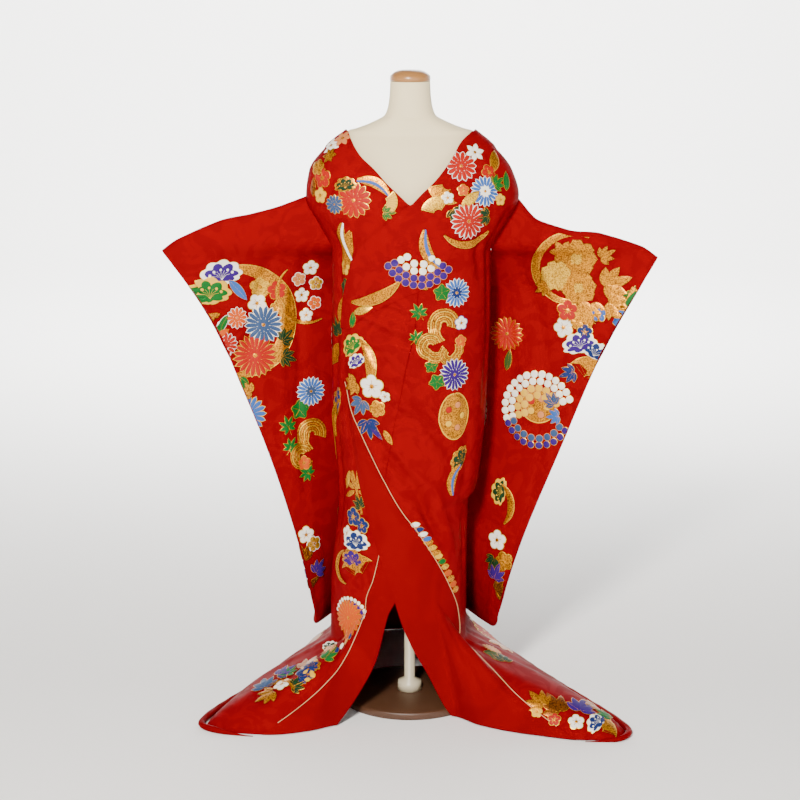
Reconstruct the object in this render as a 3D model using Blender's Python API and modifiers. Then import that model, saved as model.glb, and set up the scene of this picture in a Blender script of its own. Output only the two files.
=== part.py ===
"""An uchikake wedding kimono worn by a limbless dress form.

Metres, +Z up. The front faces -Y and the wearer's left is +X. The origin is the
centre of the underside of the stand's base.

Every cloth piece lies on one surface, cloth_point(angle, height, layer): the angle
runs round the body from the front centre (0) past the wearer's left side (90) to the
centre back (180), and is negative on the wearer's right. The layer is the distance
outward from the outermost cloth of the body, so pieces that overlap have their own
layers.
"""

from collections import namedtuple
from math import pi

import bmesh
import bpy
import numpy as np

# Cloth and seams
WALL = 0.0020
PLY = 0.0006
ROUNDNESS = 0.90

# Layers of the two fronts, each the outer face of its cloth
UNDER_FRONT = -0.0064
OVER_FRONT = 0.0

# The body as rings at named heights, outermost cloth, half widths and half depths
Ring = namedtuple("Ring", "height right_side left_side front back")
RINGS = (
    Ring(1.366, 0.142, 0.145, 0.052, 0.080),
    Ring(1.330, 0.188, 0.189, 0.080, 0.104),
    Ring(1.273, 0.231, 0.234, 0.106, 0.122),
    Ring(1.215, 0.239, 0.250, 0.121, 0.128),
    Ring(1.150, 0.208, 0.217, 0.130, 0.130),
    Ring(1.088, 0.180, 0.186, 0.135, 0.130),
    Ring(0.960, 0.180, 0.186, 0.138, 0.127),
    Ring(0.720, 0.182, 0.178, 0.141, 0.130),
    Ring(0.565, 0.170, 0.163, 0.141, 0.131),
    Ring(0.525, 0.168, 0.154, 0.141, 0.131),
    Ring(0.500, 0.168, 0.138, 0.140, 0.131),
    Ring(0.300, 0.187, 0.135, 0.141, 0.130),
    Ring(0.000, 0.192, 0.137, 0.141, 0.130),
)

# Where the skirt meets the floor, with the two trains drawn out to points in front
FloorPoint = namedtuple("FloorPoint", "angle across deep")
FLOOR_LINE = (
    FloorPoint(-180, 0.000, 0.500),
    FloorPoint(-160, -0.110, 0.475),
    FloorPoint(-140, -0.200, 0.385),
    FloorPoint(-120, -0.265, 0.265),
    FloorPoint(-105, -0.325, 0.125),
    FloorPoint(-90, -0.395, -0.005),
    FloorPoint(-78, -0.452, -0.115),
    FloorPoint(-70, -0.480, -0.200),
    FloorPoint(-62, -0.425, -0.245),
    FloorPoint(-50, -0.320, -0.262),
    FloorPoint(-40, -0.235, -0.240),
    FloorPoint(-30, -0.170, -0.203),
    FloorPoint(0, -0.010, -0.150),
    FloorPoint(20, 0.100, -0.140),
    FloorPoint(30, 0.163, -0.197),
    FloorPoint(40, 0.226, -0.234),
    FloorPoint(50, 0.301, -0.264),
    FloorPoint(60, 0.405, -0.292),
    FloorPoint(66, 0.465, -0.292),
    FloorPoint(72, 0.499, -0.250),
    FloorPoint(80, 0.460, -0.145),
    FloorPoint(90, 0.405, -0.035),
    FloorPoint(105, 0.335, 0.105),
    FloorPoint(120, 0.270, 0.245),
    FloorPoint(140, 0.200, 0.375),
    FloorPoint(160, 0.110, 0.470),
    FloorPoint(180, 0.000, 0.500),
)
SIDE_FLARE = 0.16
FRONT_FLARE = 0.30
BACK_FLARE = 0.38
HEM_HEIGHT = 0.0030

# The neck edge: half widths of the opening at each height, in front and behind
NeckPoint = namedtuple("NeckPoint", "height right_side left_side")
V_NECK = (
    NeckPoint(1.366, 0.142, 0.145),
    NeckPoint(1.341, 0.131, 0.114),
    NeckPoint(1.312, 0.112, 0.096),
    NeckPoint(1.283, 0.080, 0.076),
    NeckPoint(1.256, 0.055, 0.053),
    NeckPoint(1.229, 0.026, 0.024),
    NeckPoint(1.205, 0.001, 0.001),
)
NECK_TOP = 1.366
NECK_BACK = 1.334
V_BOTTOM = 1.205

# Front lines of the cloth, as angles at named heights. The fold is where a front turns
# outward, and the piping is its real edge, which then lies on the cloth's outside.
EdgePoint = namedtuple("EdgePoint", "height angle")
LEFT_SEAM = (
    EdgePoint(1.205, 0.0),
    EdgePoint(1.000, 4.0),
    EdgePoint(0.800, -4.0),
    EdgePoint(0.600, -16.0),
    EdgePoint(0.450, -24.0),
    EdgePoint(0.400, -23.0),
)
LEFT_FOLD = (
    EdgePoint(1.205, 0.0),
    EdgePoint(1.184, -6.5),
    EdgePoint(1.154, -15.0),
    EdgePoint(1.124, -28.0),
    EdgePoint(1.100, -38.0),
    EdgePoint(0.954, -58.0),
    EdgePoint(0.810, -61.0),
    EdgePoint(0.720, -54.0),
    EdgePoint(0.630, -47.5),
    EdgePoint(0.554, -41.0),
    EdgePoint(0.442, -27.5),
    EdgePoint(0.336, -14.0),
    EdgePoint(0.281, -8.5),
    EdgePoint(0.184, 1.0),
    EdgePoint(0.110, 10.0),
    EdgePoint(0.022, 17.5),
    EdgePoint(0.000, 20.0),
)
LEFT_PIPING = (
    EdgePoint(0.823, -60.9),
    EdgePoint(0.754, -50.5),
    EdgePoint(0.664, -34.5),
    EdgePoint(0.558, -16.8),
    EdgePoint(0.480, -1.8),
    EdgePoint(0.316, 38.0),
    EdgePoint(0.250, 52.0),
    EdgePoint(0.200, 56.0),
    EdgePoint(0.136, 50.5),
    EdgePoint(0.103, 50.0),
    EdgePoint(0.035, 54.0),
    EdgePoint(0.000, 58.0),
)
RIGHT_SEAM = (
    EdgePoint(1.205, 0.0),
    EdgePoint(1.000, -2.0),
    EdgePoint(0.700, 3.0),
    EdgePoint(0.450, 1.0),
    EdgePoint(0.370, -4.0),
)
RIGHT_FOLD = (
    EdgePoint(1.205, 0.0),
    EdgePoint(1.120, 24.0),
    EdgePoint(1.000, 38.0),
    EdgePoint(0.700, 42.0),
    EdgePoint(0.500, 30.0),
    EdgePoint(0.390, 6.0),
    EdgePoint(0.336, -3.0),
    EdgePoint(0.281, -8.5),
    EdgePoint(0.250, -12.2),
    EdgePoint(0.149, -15.5),
    EdgePoint(0.060, -23.0),
    EdgePoint(0.000, -30.0),
)
RIGHT_PIPING = (
    EdgePoint(0.400, -20.0),
    EdgePoint(0.331, -24.5),
    EdgePoint(0.282, -30.0),
    EdgePoint(0.174, -32.5),
    EdgePoint(0.134, -35.0),
    EdgePoint(0.099, -39.5),
    EdgePoint(0.044, -47.0),
    EdgePoint(0.000, -53.0),
)

# The collar's outer edge in front and behind, and where its lower end stops
LEFT_COLLAR = (
    EdgePoint(1.334, 90.0),
    EdgePoint(1.324, 72.0),
    EdgePoint(1.290, 54.0),
    EdgePoint(1.227, 44.0),
    EdgePoint(1.116, 30.0),
    EdgePoint(1.030, 12.0),
    EdgePoint(0.988, -11.0),
    EdgePoint(0.955, -32.0),
    EdgePoint(0.916, -50.0),
)
LEFT_COLLAR_END = 0.920
RIGHT_COLLAR = (
    EdgePoint(1.334, -90.0),
    EdgePoint(1.324, -72.0),
    EdgePoint(1.290, -54.0),
    EdgePoint(1.227, -44.0),
    EdgePoint(1.116, -32.0),
    EdgePoint(1.030, -10.0),
    EdgePoint(0.980, 6.0),
)
RIGHT_COLLAR_END = 0.980
BACK_COLLAR = (
    EdgePoint(1.334, 90.0),
    EdgePoint(1.316, 104.0),
    EdgePoint(1.276, 128.0),
    EdgePoint(1.256, 150.0),
)
BACK_COLLAR_END = 1.256
COLLAR_TURN = 1.334

# Sleeves: the reach of the wrist edge from the middle, at each height. The first row
# carries the line on above the sleeve's tip.
CuffPoint = namedtuple("CuffPoint", "height right_side left_side")
CUFF_LINE = (
    CuffPoint(1.300, 0.680, 0.690),
    CuffPoint(1.090, 0.576, 0.582),
    CuffPoint(1.018, 0.522, 0.544),
    CuffPoint(0.903, 0.449, 0.476),
    CuffPoint(0.780, 0.400, 0.419),
    CuffPoint(0.644, 0.346, 0.366),
    CuffPoint(0.508, 0.300, 0.311),
    CuffPoint(0.409, 0.271, 0.272),
    CuffPoint(0.312, 0.246, 0.240),
    CuffPoint(0.200, 0.226, 0.212),
    CuffPoint(0.150, 0.222, 0.206),
)
# How far the sleeve's top edge stands above a straight line, seam to tip
TopPoint = namedtuple("TopPoint", "share right_side left_side")
SLEEVE_TOP = (
    TopPoint(0.00, 0.000, 0.014),
    TopPoint(0.16, 0.000, -0.020),
    TopPoint(0.36, 0.006, -0.016),
    TopPoint(0.60, 0.018, 0.005),
    TopPoint(0.88, 0.012, 0.011),
    TopPoint(1.00, 0.000, 0.000),
)
SLEEVE_TIP = {-1: 1.088, 1: 1.072}
SLEEVE_FOOT = {-1: 0.175, 1: 0.167}
SLEEVE_RISE = 0.125
SLEEVE_WIDTH = 0.345
SLEEVE_CORNER = 0.065
CUFF_OPENING = 0.250
SLEEVE_CLEAR = 0.018
# The heights between which the free inner edge swings from the side to the back
SLOT_END = 1.088
SWING_FOOT = 1.000

# The dress form and its stand
FormRing = namedtuple("FormRing", "height side front back")
FORM_RINGS = (
    FormRing(1.4740, 0.0455, 0.0455, 0.0455),
    FormRing(1.4500, 0.0465, 0.0465, 0.0475),
    FormRing(1.4200, 0.0500, 0.0480, 0.0520),
    FormRing(1.3980, 0.0580, 0.0490, 0.0560),
    FormRing(1.3820, 0.0860, 0.0460, 0.0600),
    FormRing(1.3680, 0.1220, 0.0460, 0.0640),
    FormRing(1.3560, 0.1700, 0.0470, 0.0690),
    FormRing(1.3440, 0.1850, 0.0530, 0.0760),
    FormRing(1.3300, 0.1860, 0.0610, 0.0840),
    FormRing(1.3000, 0.1880, 0.0750, 0.0940),
    FormRing(1.2500, 0.1800, 0.0930, 0.1030),
    FormRing(1.1800, 0.1640, 0.1040, 0.1060),
    FormRing(1.1000, 0.1500, 0.1080, 0.1010),
    FormRing(1.0200, 0.1380, 0.1020, 0.0950),
    FormRing(0.9300, 0.1400, 0.1010, 0.1000),
    FormRing(0.8500, 0.1460, 0.1010, 0.1060),
    FormRing(0.7800, 0.1420, 0.0980, 0.1040),
    FormRing(0.7500, 0.1300, 0.0880, 0.0920),
    FormRing(0.7400, 0.1050, 0.0680, 0.0720),
)
FORM_ROUNDNESS = 0.94
SHOULDER_REST = 0.0041
GAP = 0.0003
CAP_FOOT = 1.4743
CAP_RADIUS = 0.0455
CAP_TOP = 1.500
BASE_RADIUS = 0.165
BASE_THICK = 0.018
POLE_RADIUS = 0.0125
HEM_ROLL = 0.0080
CORD = 0.0015
CORD_LIFT = 0.0012
CORD_ASIDE = 0.0022


def curve_through(knots, values):
    """A smooth function through the values at the knots, level past both ends."""
    knots = np.asarray(knots, float)
    values = np.asarray(values, float)
    if knots[0] > knots[-1]:
        knots, values = knots[::-1], values[::-1]
    slopes = np.diff(values) / np.diff(knots)
    bends = np.zeros(len(knots))
    same_way = slopes[:-1] * slopes[1:] > 0
    means = 2 * slopes[:-1] * slopes[1:] / np.where(same_way, slopes[:-1] + slopes[1:], 1)
    bends[1:-1] = np.where(same_way, means, 0)
    bends[0], bends[-1] = slopes[0], slopes[-1]

    def value(at):
        at = np.clip(at, knots[0], knots[-1])
        i = np.clip(np.searchsorted(knots, at) - 1, 0, len(knots) - 2)
        step = knots[i + 1] - knots[i]
        t = (at - knots[i]) / step
        start = values[i] * (1 + 2 * t) * (1 - t) ** 2 + bends[i] * step * t * (1 - t) ** 2
        end = values[i + 1] * t * t * (3 - 2 * t) + bends[i + 1] * step * t * t * (t - 1)
        return start + end

    return value


def column_of(table, key, name):
    """The table's named column as a smooth function of its key column."""
    return curve_through([getattr(row, key) for row in table], [getattr(row, name) for row in table])


def eased(low, high, at):
    """0 below low, 1 above high, and a soft step between."""
    t = np.clip((at - low) / (high - low), 0, 1)
    return t * t * (3 - 2 * t)


RING = {name: column_of(RINGS, "height", name) for name in Ring._fields[1:]}
FLOOR = {name: column_of(FLOOR_LINE, "angle", name) for name in ("across", "deep")}
LINES = {
    "left_seam": LEFT_SEAM,
    "left_fold": LEFT_FOLD,
    "left_piping": LEFT_PIPING,
    "left_collar": LEFT_COLLAR,
    "right_seam": RIGHT_SEAM,
    "right_fold": RIGHT_FOLD,
    "right_piping": RIGHT_PIPING,
    "right_collar": RIGHT_COLLAR,
    "back_collar": BACK_COLLAR,
}
LINE = {name: column_of(table, "height", "angle") for name, table in LINES.items()}
CUFF = {name: column_of(CUFF_LINE, "height", name) for name in CuffPoint._fields[1:]}
TOP_LINE = {name: column_of(SLEEVE_TOP, "share", name) for name in TopPoint._fields[1:]}


def body_point(angle, height):
    """The straight column of cloth round the body, before the skirt spreads."""
    turn = np.radians(angle)
    side = np.where(turn < 0, RING["right_side"](height), RING["left_side"](height))
    depth = np.where(np.cos(turn) > 0, RING["front"](height), RING["back"](height))
    across = side * np.sign(np.sin(turn)) * np.abs(np.sin(turn)) ** ROUNDNESS
    deep = -depth * np.sign(np.cos(turn)) * np.abs(np.cos(turn)) ** ROUNDNESS
    return np.stack([across, deep, height + 0 * across], -1)


def spread_at(angle, height):
    """How far the skirt has gone from the column to the floor line, 0 to 1."""
    away = np.abs(angle)
    start = FRONT_FLARE + (SIDE_FLARE - FRONT_FLARE) * eased(10, 72, away)
    rolled = np.clip(1 - np.clip(height / start, 0, 1) ** 1.5, 0, 1) ** 1.25
    trailing = np.clip(1 - height / BACK_FLARE, 0, 1) ** 1.9
    behind = eased(100, 150, away)
    return rolled * (1 - behind) + trailing * behind


def base_point(angle, height):
    """A point on the outermost cloth."""
    straight = body_point(angle, height)
    spread = spread_at(angle, height)[..., None]
    floor = np.stack([FLOOR["across"](angle), FLOOR["deep"](angle), height + 0 * angle], -1)
    return straight + spread * (floor - straight)


def cloth_point(angle, height, layer=0.0):
    """A point that is the layer's distance outward from the outermost cloth."""
    angle, height, layer = np.broadcast_arrays(
        np.asarray(angle, float), np.asarray(height, float), np.asarray(layer, float)
    )
    round_it = base_point(angle + 0.5, height) - base_point(angle - 0.5, height)
    up = base_point(angle, np.minimum(height + 0.002, NECK_TOP))
    down = base_point(angle, np.maximum(height - 0.002, 0))
    outward = np.cross(round_it, up - down)
    outward /= np.linalg.norm(outward, axis=-1, keepdims=True)
    return base_point(angle, height) + outward * layer[..., None]


def angle_across(height, across):
    """The front angle where the column lies this far across at this height."""
    side = np.where(across < 0, RING["right_side"](height), RING["left_side"](height))
    share = np.clip(np.abs(across) / side, 0, 1) ** (1 / ROUNDNESS)
    return np.sign(across) * np.degrees(np.arcsin(share))


def neck_angle(side, height):
    """The front angle of the V neck's edge at a height above the V's bottom."""
    name = "left_side" if side > 0 else "right_side"
    return angle_across(height, side * column_of(V_NECK, "height", name)(height))


def side_name(side):
    return "left" if side > 0 else "right"


def front_layer(side, angle, height):
    """The wearer's right front sinks under the left one, where the two cross."""
    sunk = eased(-84, -64, angle) * (1 - eased(1.235, 1.300, height))
    return 0 * angle if side > 0 else UNDER_FRONT * sunk


def material(name, colour, roughness, metallic=0.0, sheen=0.0):
    made = bpy.data.materials.get(name)
    if made:
        return made
    made = bpy.data.materials.new(name)
    made.use_nodes = True
    made.diffuse_color = (*colour, 1)
    shader = made.node_tree.nodes["Principled BSDF"]
    shader.inputs["Base Color"].default_value = (*colour, 1)
    shader.inputs["Roughness"].default_value = roughness
    shader.inputs["Metallic"].default_value = metallic
    shader.inputs["Sheen Weight"].default_value = sheen
    return made


def brocade():
    return material("red silk brocade", (0.55, 0.004, 0.008), 0.42, sheen=0.3)


def lining_silk():
    return material("plain red lining silk", (0.40, 0.003, 0.004), 0.55, sheen=0.2)


def gold_thread():
    return material("gold thread", (0.80, 0.55, 0.16), 0.35, metallic=0.9)


def form_cloth():
    return material("cream form cover", (0.86, 0.76, 0.58), 0.75)


def wood():
    return material("varnished light wood", (0.62, 0.42, 0.20), 0.40)


def dark_wood():
    return material("brown stained wood", (0.20, 0.12, 0.06), 0.45)


def steel():
    return material("painted steel", (0.55, 0.50, 0.42), 0.35, metallic=0.6)


def new_object(name, mesh, finish):
    piece = bpy.data.objects.new(name, mesh)
    mesh.materials.append(finish)
    bpy.data.collections["uchikake"].objects.link(piece)
    mesh.shade_smooth()
    return piece


# The net that all pieces on the body share, so that one piece lies evenly on another
NET_ANGLES = np.array([
    *(-180, -168, -156, -144, -132, -120, -108, -95, -90, -85, -78, -70, -62, -53),
    *(-44, -35, -26, -17, -8, 0, 8, 17, 26, 35, 44, 53),
    *(62, 72, 79, 85, 90, 95, 108, 120, 132, 144, 156, 168, 180),
])
NET_HEIGHTS = np.array([
    *(1.362, 1.348, 1.334, 1.308, 1.282, 1.256, 1.230, 1.213),
    *(1.160, 1.120, 1.080, 1.030, 0.980, 0.950, 0.920, 0.870, 0.800, 0.720, 0.645, 0.570),
    *(0.545, 0.520, 0.490, 0.445, 0.400, 0.360, 0.325, 0.290, 0.260, 0.230, 0.205, 0.185),
    *(0.170, 0.153, 0.130, 0.105, 0.080, 0.055, 0.032, 0.014, HEM_HEIGHT),
])
SLOT_TOP = 1.213
SLOT_FOOT = 0.980
SLOT_HALF = 5.0
# A corner of the net this close outside a line, in degrees, is drawn onto the line
SNAP = 1.2


def net_corner(i, j, layer):
    """The cloth's point at a corner of the net."""
    angle, height = NET_ANGLES[i], NET_HEIGHTS[j]
    lift = layer(angle, height) if callable(layer) else layer
    return cloth_point(angle, height, lift)


def net_point(angle, height, layer):
    """A point on the net's flat triangles, so that every piece bends along the same edges."""
    i = int(np.clip(np.searchsorted(NET_ANGLES, angle, side="right") - 1, 0, len(NET_ANGLES) - 2))
    j = int(np.clip(np.searchsorted(-NET_HEIGHTS, -height, side="right") - 1, 0, len(NET_HEIGHTS) - 2))
    across = (angle - NET_ANGLES[i]) / (NET_ANGLES[i + 1] - NET_ANGLES[i])
    down = (height - NET_HEIGHTS[j]) / (NET_HEIGHTS[j + 1] - NET_HEIGHTS[j])
    start, end = net_corner(i, j, layer), net_corner(i + 1, j + 1, layer)
    if down >= across:
        turn = net_corner(i, j + 1, layer)
        return start + down * (turn - start) + across * (end - turn)
    turn = net_corner(i + 1, j, layer)
    return start + across * (turn - start) + down * (end - turn)


def cut_polygon(polygon, inside):
    """The part of a polygon of (angle, height) points where inside is not negative."""
    kept = []
    for here, after in zip(polygon, polygon[1:] + polygon[:1]):
        here_in, after_in = inside(here), inside(after)
        if here_in > -1e-6:
            kept.append(here)
        if here_in * after_in < -1e-9 and min(abs(here_in), abs(after_in)) > 1e-6:
            share = here_in / (here_in - after_in)
            kept.append(tuple(np.array(here) + share * (np.array(after) - np.array(here))))
    return kept


class Cloth:
    """An open surface made of the net's triangles, cut along lines of angle."""

    def __init__(self, layer=0.0):
        self.layer = layer
        self.work = bmesh.new()
        self.made = {}

    def vertex(self, point):
        key = (round(float(point[0]), 3), round(float(point[1]), 5))
        if key not in self.made:
            self.made[key] = self.work.verts.new(net_point(*point, self.layer))
        return self.made[key]

    def zone(self, top, foot, low, high):
        """The net between two heights and two lines of angles."""
        heights = [h for h in NET_HEIGHTS if foot - 0.0001 < h < top + 0.0001]

        def at(angle, height):
            """A corner, drawn onto a line that passes close to it."""
            if -0.25 < low(height) - angle < SNAP:
                return (low(height), height)
            if -0.25 < angle - high(height) < SNAP:
                return (high(height), height)
            return (angle, height)

        for upper, lower in zip(heights, heights[1:]):
            for start, end in zip(NET_ANGLES, NET_ANGLES[1:]):
                one, two = at(start, upper), at(end, upper)
                three, four = at(start, lower), at(end, lower)
                for polygon in ([one, three, four], [one, four, two]):
                    polygon = cut_polygon(polygon, lambda p: p[0] - low(p[1]))
                    polygon = cut_polygon(polygon, lambda p: high(p[1]) - p[0])
                    self.fan(polygon)

    def fan(self, polygon):
        corners = []
        for point in polygon:
            vertex = self.vertex(point)
            if vertex not in corners:
                corners.append(vertex)
        for one, two in zip(corners[1:], corners[2:]):
            if not self.work.faces.get((corners[0], one, two)):
                self.work.faces.new((corners[0], one, two))

    def finish(self, name, finish):
        """The surface as a wall, thickened inward."""
        bmesh.ops.remove_doubles(self.work, verts=self.work.verts, dist=0.00002)
        for edge in self.work.edges:
            edge.smooth = not edge.is_boundary
        mesh = bpy.data.meshes.new(name)
        self.work.to_mesh(mesh)
        self.work.free()
        piece = new_object(name, mesh, finish)
        solid = piece.modifiers.new("wall", "SOLIDIFY")
        solid.thickness = WALL
        solid.offset = -1
        return piece


def front_end(side, height):
    """Where a body panel ends in front: the neck edge, the overlap seam or the fold."""
    if height > V_BOTTOM:
        return neck_angle(side, height) + side * 0.8
    seam = LINE[side_name(side) + "_seam"](height)
    fold = LINE[side_name(side) + "_fold"](height)
    return max(seam, fold) + 0.12 if side > 0 else min(seam, fold) - 0.12


def back_end(side, height):
    """Where a body panel ends behind: the neck edge, or the centre back seam."""
    if height <= NECK_BACK:
        return side * (180 - 0.13)
    share = (height - NECK_BACK) / (NECK_TOP - NECK_BACK)
    return side * (180 - 84 * share**0.6)


def between(side, front, back):
    """The two lines of a piece in the order of their angles."""
    return (front, back) if side > 0 else (back, front)


def body_panel(side):
    """One side of the body, cut in one length over the shoulder, front and back."""
    cloth = Cloth(lambda angle, height: front_layer(side, angle, height))
    top, foot = NET_HEIGHTS[0], NET_HEIGHTS[-1]

    def front(height):
        return front_end(side, height)

    def back(height):
        return back_end(side, height)

    def slot_front(height):
        return side * (90 - SLOT_HALF)

    def slot_back(height):
        return side * (90 + SLOT_HALF)

    cloth.zone(top, SLOT_TOP, *between(side, front, back))
    cloth.zone(SLOT_TOP, SLOT_FOOT, *between(side, front, slot_front))
    cloth.zone(SLOT_TOP, SLOT_FOOT, *between(side, slot_back, back))
    cloth.zone(SLOT_FOOT, foot, *between(side, front, back))
    return cloth.finish("body_" + side_name(side), brocade())


def overlap_panel(side):
    """The narrow panel sewn to the front edge, down to where the front folds back."""
    seam, fold = LINE[side_name(side) + "_seam"], LINE[side_name(side) + "_fold"]
    foot = 0.445 if side > 0 else 0.400
    cloth = Cloth(OVER_FRONT if side > 0 else UNDER_FRONT)

    def edge(height):
        return seam(height) - side * 0.12

    cloth.zone(1.160, foot, *between(side, fold, edge))
    return cloth.finish("overlap_" + side_name(side), brocade())


def lining(side):
    """The lining of a front that is turned outward, lying on that front."""
    fold, piping = LINE[side_name(side) + "_fold"], LINE[side_name(side) + "_piping"]
    layer = OVER_FRONT if side > 0 else UNDER_FRONT
    top = 0.800 if side > 0 else 0.400
    cloth = Cloth(layer + WALL + PLY)
    cloth.zone(top, NET_HEIGHTS[-1], *between(side, fold, piping))
    return cloth.finish("lining_" + side_name(side), lining_silk())


def collar(side):
    """One half of the collar, from the centre back over the shoulder and down the front."""
    name = side_name(side)
    outer, fold, behind = LINE[name + "_collar"], LINE[name + "_fold"], LINE["back_collar"]
    low_end = LEFT_COLLAR_END if side > 0 else RIGHT_COLLAR_END
    cloth = Cloth(lambda angle, height: front_layer(side, angle, height) + WALL + PLY)

    def inner(height):
        if height > V_BOTTOM:
            return neck_angle(side, height)
        return fold(height) - side * 0.5

    def back(height):
        return back_end(side, height)

    def back_outer(height):
        return side * behind(height)

    cloth.zone(NET_HEIGHTS[0], COLLAR_TURN, *between(side, inner, back))
    cloth.zone(COLLAR_TURN, BACK_COLLAR_END, *between(side, back_outer, back))
    cloth.zone(COLLAR_TURN, low_end, *between(side, inner, outer))
    return cloth.finish("collar_" + name, brocade())


def tube(name, path, radius, finish, sides=6):
    """A round cord along a path of points."""
    data = bpy.data.curves.new(name, "CURVE")
    data.dimensions = "3D"
    data.bevel_depth = radius
    data.bevel_resolution = sides // 2 - 2
    data.use_fill_caps = True
    line = data.splines.new("POLY")
    line.points.add(len(path) - 1)
    for point, place in zip(line.points, path):
        point.co = (*place, 1)
    piece = bpy.data.objects.new(name, data)
    data.materials.append(finish)
    bpy.data.collections["uchikake"].objects.link(piece)
    return piece


def piping_cord(side):
    """The cord sewn along the turned-out front edge."""
    piping = LINE[side_name(side) + "_piping"]
    layer = OVER_FRONT if side > 0 else UNDER_FRONT
    top, foot = (0.795, 0.026) if side > 0 else (0.395, 0.026)
    path, height = [], top
    while height > foot:
        angle = float(piping(height))
        here = net_point(angle, height, layer + CORD + CORD_LIFT)
        onward = net_point(angle + side, height, layer + CORD + CORD_LIFT) - here
        path.append(here + onward / np.linalg.norm(onward) * (CORD + CORD_ASIDE))
        slope = abs(float(piping(height - 0.005)) - angle) / 0.005
        height -= min(0.018, 4.0 / max(slope, 1))
    return tube("edge_cord_" + side_name(side), path, CORD, gold_thread())


def hem_roll(side):
    """The padded roll of lining along the hem, from the piping to the centre back."""
    start = LINE[side_name(side) + "_piping"](0) + side * 1.5
    inside = [a for a in NET_ANGLES if side * a > abs(start) + 2 and abs(a) < 180]
    angles = [start, *sorted(inside, key=abs), side * 179.8]
    hem = np.array([net_point(angle, HEM_HEIGHT, 0.0)[:2] for angle in angles])
    along = np.diff(hem, axis=0)
    along /= np.linalg.norm(along, axis=1)[:, None]
    before, after = np.vstack([along[:1], along]), np.vstack([along, along[-1:]])
    heading = before + after
    heading /= np.linalg.norm(heading, axis=1)[:, None]
    out = np.stack([heading[:, 1], -heading[:, 0]], 1) * side
    stretch = 1 / np.sum(heading * after, axis=1)
    reach = HEM_ROLL + PLY
    aside = (reach**2 - (reach - HEM_HEIGHT) ** 2) ** 0.5 - 0.0001
    middle = hem + out * (aside * stretch)[:, None]
    path = [(*place, HEM_ROLL + PLY) for place in middle]
    return tube("hem_roll_" + side_name(side), path, HEM_ROLL, lining_silk(), sides=8)


def beside(angle, height, clear):
    """The place in plan that is this clear of the body's cloth at the same height."""
    foot, lifted = cloth_point(angle, height), cloth_point(angle, height, 1.0)
    out = lifted - foot
    flat = np.linalg.norm(out[..., :2], axis=-1, keepdims=True)
    return foot[..., :2] + out[..., :2] / flat**2 * clear


def sleeve_path(side, height):
    """The sleeve's line in plan from the wrist edge, and how far it has swung behind.

    Where it is sewn on it ends at the body's side. Lower down it hangs free, runs
    just past the body and then follows the body's back.
    """
    name = side_name(side) + "_side"
    cuff = np.array([side * CUFF[name](height), 0.0])
    turns = np.arange(90.0, 179.0, 1.0)
    round_it = beside(side * turns, height, SLEEVE_CLEAR)
    to_ring = round_it - cuff
    touch = int(np.argmax(np.arctan2(to_ring[:, 1], -side * to_ring[:, 0])))
    swing = 1 - float(eased(SWING_FOOT, SLOT_END, height))
    if swing == 1:
        return np.array([cuff, *round_it[touch:]]), swing
    turn = 90 + swing * (turns[touch] - 90)
    clear = GAP + (SLEEVE_CLEAR - GAP) * np.sin(swing * pi / 2) ** 0.6
    edge = net_point(side * turn, height, 0.0)[:2] - cloth_point(side * turn, height)[:2]
    return np.array([cuff, beside(side * turn, height, clear) + edge]), swing


def along_path(path, distance):
    """The place and the heading at a distance along a path."""
    steps = np.linalg.norm(np.diff(path, axis=0), axis=1)
    gone = np.concatenate([[0], np.cumsum(steps)])
    place = lambda d: np.array([np.interp(d, gone, path[:, 0]), np.interp(d, gone, path[:, 1])])
    here = place(distance)
    ahead = place(min(distance + 0.02, gone[-1])) - place(max(distance - 0.02, 0))
    return here, ahead / np.linalg.norm(ahead)


def sleeve_half(share, drop):
    """Half the sleeve's thickness at a share of its width, at a drop below its top."""
    full = 0.011
    mouth = 0.0026 + 0.0114 * (1 - float(eased(CUFF_OPENING - 0.03, CUFF_OPENING + 0.01, drop)))
    seam = 0.009 + 0.005 * (1 - float(eased(0.10, 0.16, drop)))
    near_cuff = 1 - float(eased(0.0, 0.16, share))
    near_seam = float(eased(0.80, 1.0, share))
    return full + (mouth - full) * near_cuff + (seam - full) * near_seam


def sleeve_point(side, share, down, face):
    """A point of the sleeve: share of the width from the wrist, share of the length down."""
    name = side_name(side) + "_side"
    tip, foot = SLEEVE_TIP[side], SLEEVE_FOOT[side]
    cuff_height = tip + (foot - tip) * down
    cuff_reach = float(CUFF[name](cuff_height))
    slope = SLEEVE_RISE * (1 - 1.1 * float(eased(0.45, 1.0, down)))
    seam_path, swing = sleeve_path(side, cuff_height + slope)
    width = SLEEVE_WIDTH * (1 - 0.26 * float(eased(0.25, 0.95, down)))
    if swing < 1:
        length = np.linalg.norm(seam_path[1] - seam_path[0])
        width = min(width, length - abs(seam_path[0, 0]) + cuff_reach)
    rise = TOP_LINE[name](1 - share) * (1 - float(eased(0, 0.45, down)))
    height = cuff_height + slope * share + rise
    path, _ = sleeve_path(side, height)
    here, heading = along_path(path, abs(path[0, 0]) - cuff_reach + width * share)
    front = np.array([-heading[1], heading[0]]) * side
    return np.array([*(here + front * face), height])


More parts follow.
